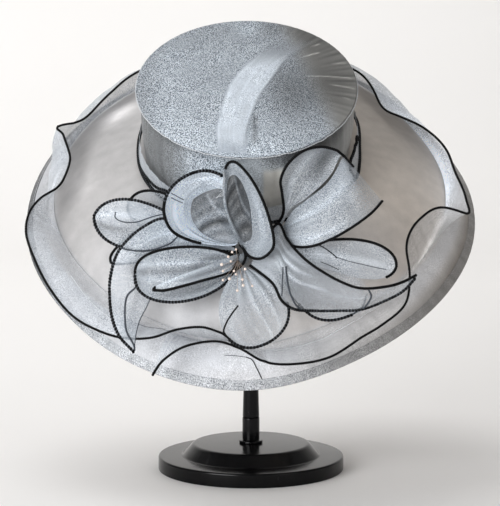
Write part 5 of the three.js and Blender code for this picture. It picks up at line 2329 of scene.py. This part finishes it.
    def build(self, atelier: Atelier, trimmings: Trimmings) -> None:
        """Make and place every piece of the flower.

        Args:
            atelier: gives pieces their finish and place.
            trimmings: sews cords and stitches.
        """
        atelier.place(self.knot().to_object(), Cloth.PETAL, "flower_core")
        for name, part in {**self.petals, **self.leaves, **self.loops}.items():
            sheet = part.drape.dress(part.sheet(name + "_cloth"))
            atelier.sheet(sheet, Cloth.PETAL, name, held="folded", rests_on=["flower_knot"])
            for k, run in enumerate(part.drape.cords, 1):
                trimmings.edge(f"{name}_cord_{k}", sheet.along(run.path), run.look,
                               radius=run.radius)
            if isinstance(part, Loop):
                atelier.sheet(part.inside(name + "_inside", sheet), Cloth.PETAL, held="gathered",
                              rests_on=[sheet.name])
        round_it = smooth_rows(self.knot_cord, np.linspace(0, len(self.knot_cord) - 1, 50), False)
        trimmings.edge("knot_cord", FLOWER.world(round_it), SOLID)
        trimmings.stamens("pearl_stamens", self.wires(), self.pearl_radius)
        trimmings.threads("frayed_threads", self.frays())


# The studio

@dataclass
class Studio:
    """A pale floor that rises into the background, soft lamps, and the camera."""

    half_width: float = 4.0
    front: float = -3.2
    back: float = 1.6
    bend: float = 1.4
    top: float = 4.0
    eye: tuple[float, float, float] = (-0.0008, -1.7, 0.37334)
    look_down: float = 6.395
    focal_pixels: float = 2048.0
    image_height: float = 506.0
    sensor: float = 36.0

    def sweep(self, atelier: Atelier) -> None:
        """The floor and its rising back, in one sheet.

        Args:
            atelier: holds the paper's material.
        """
        arc = [(self.back + self.bend * math.sin(t), self.bend * (1 - math.cos(t)))
               for t in np.linspace(0, math.pi / 2, 24)]
        profile = [(self.front, 0.0), *arc, (self.back + self.bend, self.top)]
        points = [(x, y, z) for y, z in profile for x in (-self.half_width, self.half_width)]
        faces = [(2 * k, 2 * k + 1, 2 * k + 3, 2 * k + 2) for k in range(len(profile) - 1)]
        mesh = bpy.data.meshes.new("studio_sweep")
        mesh.from_pydata(points, [], faces)
        mesh.polygons.foreach_set("use_smooth", np.ones(len(mesh.polygons), bool))
        sweep = new_object("studio_sweep", mesh)
        mesh.materials.append(atelier.wardrobe.paper)

    def lamp(self, name: str, place: tuple[float, float, float], target: tuple, size: float,
             power: float, colour: tuple[float, float, float]) -> None:
        """A square soft lamp that faces a target.

        Args:
            name: its name.
            place: where it hangs.
            target: what it faces.
            size: its side in metres.
            power: its power in watts.
            colour: the colour of its light.
        """
        data = bpy.data.lights.new(name, "AREA")
        data.shape, data.size, data.energy, data.color = "SQUARE", size, power, colour
        lamp = bpy.data.objects.new(name, data)
        aim = (Vector(target) - Vector(place)).to_track_quat("-Z", "Y")
        lamp.matrix_world = Matrix.Translation(place) @ aim.to_matrix().to_4x4()
        bpy.context.scene.collection.objects.link(lamp)

    def lights(self) -> None:
        """Window light from the left, a weaker fill, and light on the background."""
        self.lamp("window", (-1.55, -2.1, 0.62), (0, 0, 0.25), 1.5, 66, (0.98, 0.99, 1.0))
        self.lamp("fill", (1.7, -2.0, 0.5), (0, 0, 0.25), 1.2, 5, (1.0, 0.97, 0.94))
        self.lamp("overhead", (0.0, 0.5, 2.2), (0, 0.1, 0.0), 1.6, 3, (1, 1, 1))
        self.lamp("background", (-1.0, 0.7, 2.7), (-0.5, 3.0, 0.7), 2.2, 50, (1, 1, 1))
        world = bpy.data.worlds.new("studio")
        world.use_nodes = True
        board = Board(world.node_tree)
        glow = board.add("ShaderNodeBackground", None, {"Color": (1, 1, 1, 1), "Strength": 0.34})
        board.add("ShaderNodeOutputWorld", None, {"Surface": glow})
        bpy.context.scene.world = world
        bpy.context.scene.view_settings.view_transform = "Standard"

    def camera(self) -> None:
        """The camera at the photograph's angle."""
        data = bpy.data.cameras.new("camera")
        data.sensor_width = self.sensor
        data.lens = self.focal_pixels / self.image_height * self.sensor
        camera = bpy.data.objects.new("camera", data)
        camera.location = self.eye
        camera.rotation_euler = (math.radians(90 - self.look_down), 0, 0)
        bpy.context.scene.collection.objects.link(camera)
        bpy.context.scene.camera = camera

    def build(self, atelier: Atelier) -> None:
        """Set up the floor, lamps and camera.

        Args:
            atelier: holds the paper's material.
        """
        self.sweep(atelier)
        self.lights()
        self.camera()


def main() -> None:
    """Build every sub-assembly in order."""
    logging.basicConfig(level=logging.INFO, format="%(name)s: %(message)s")
    atelier = Atelier(Wardrobe())
    trimmings = Trimmings(atelier)
    Studio().build(atelier)
    Stand().build(atelier)
    Crown().build(atelier, trimmings)
    brim = Brim()
    brim.build(atelier, trimmings)
    Ruffle(brim).build(atelier, trimmings)
    Flower().build(atelier, trimmings)


if __name__ == "__main__":
    main()
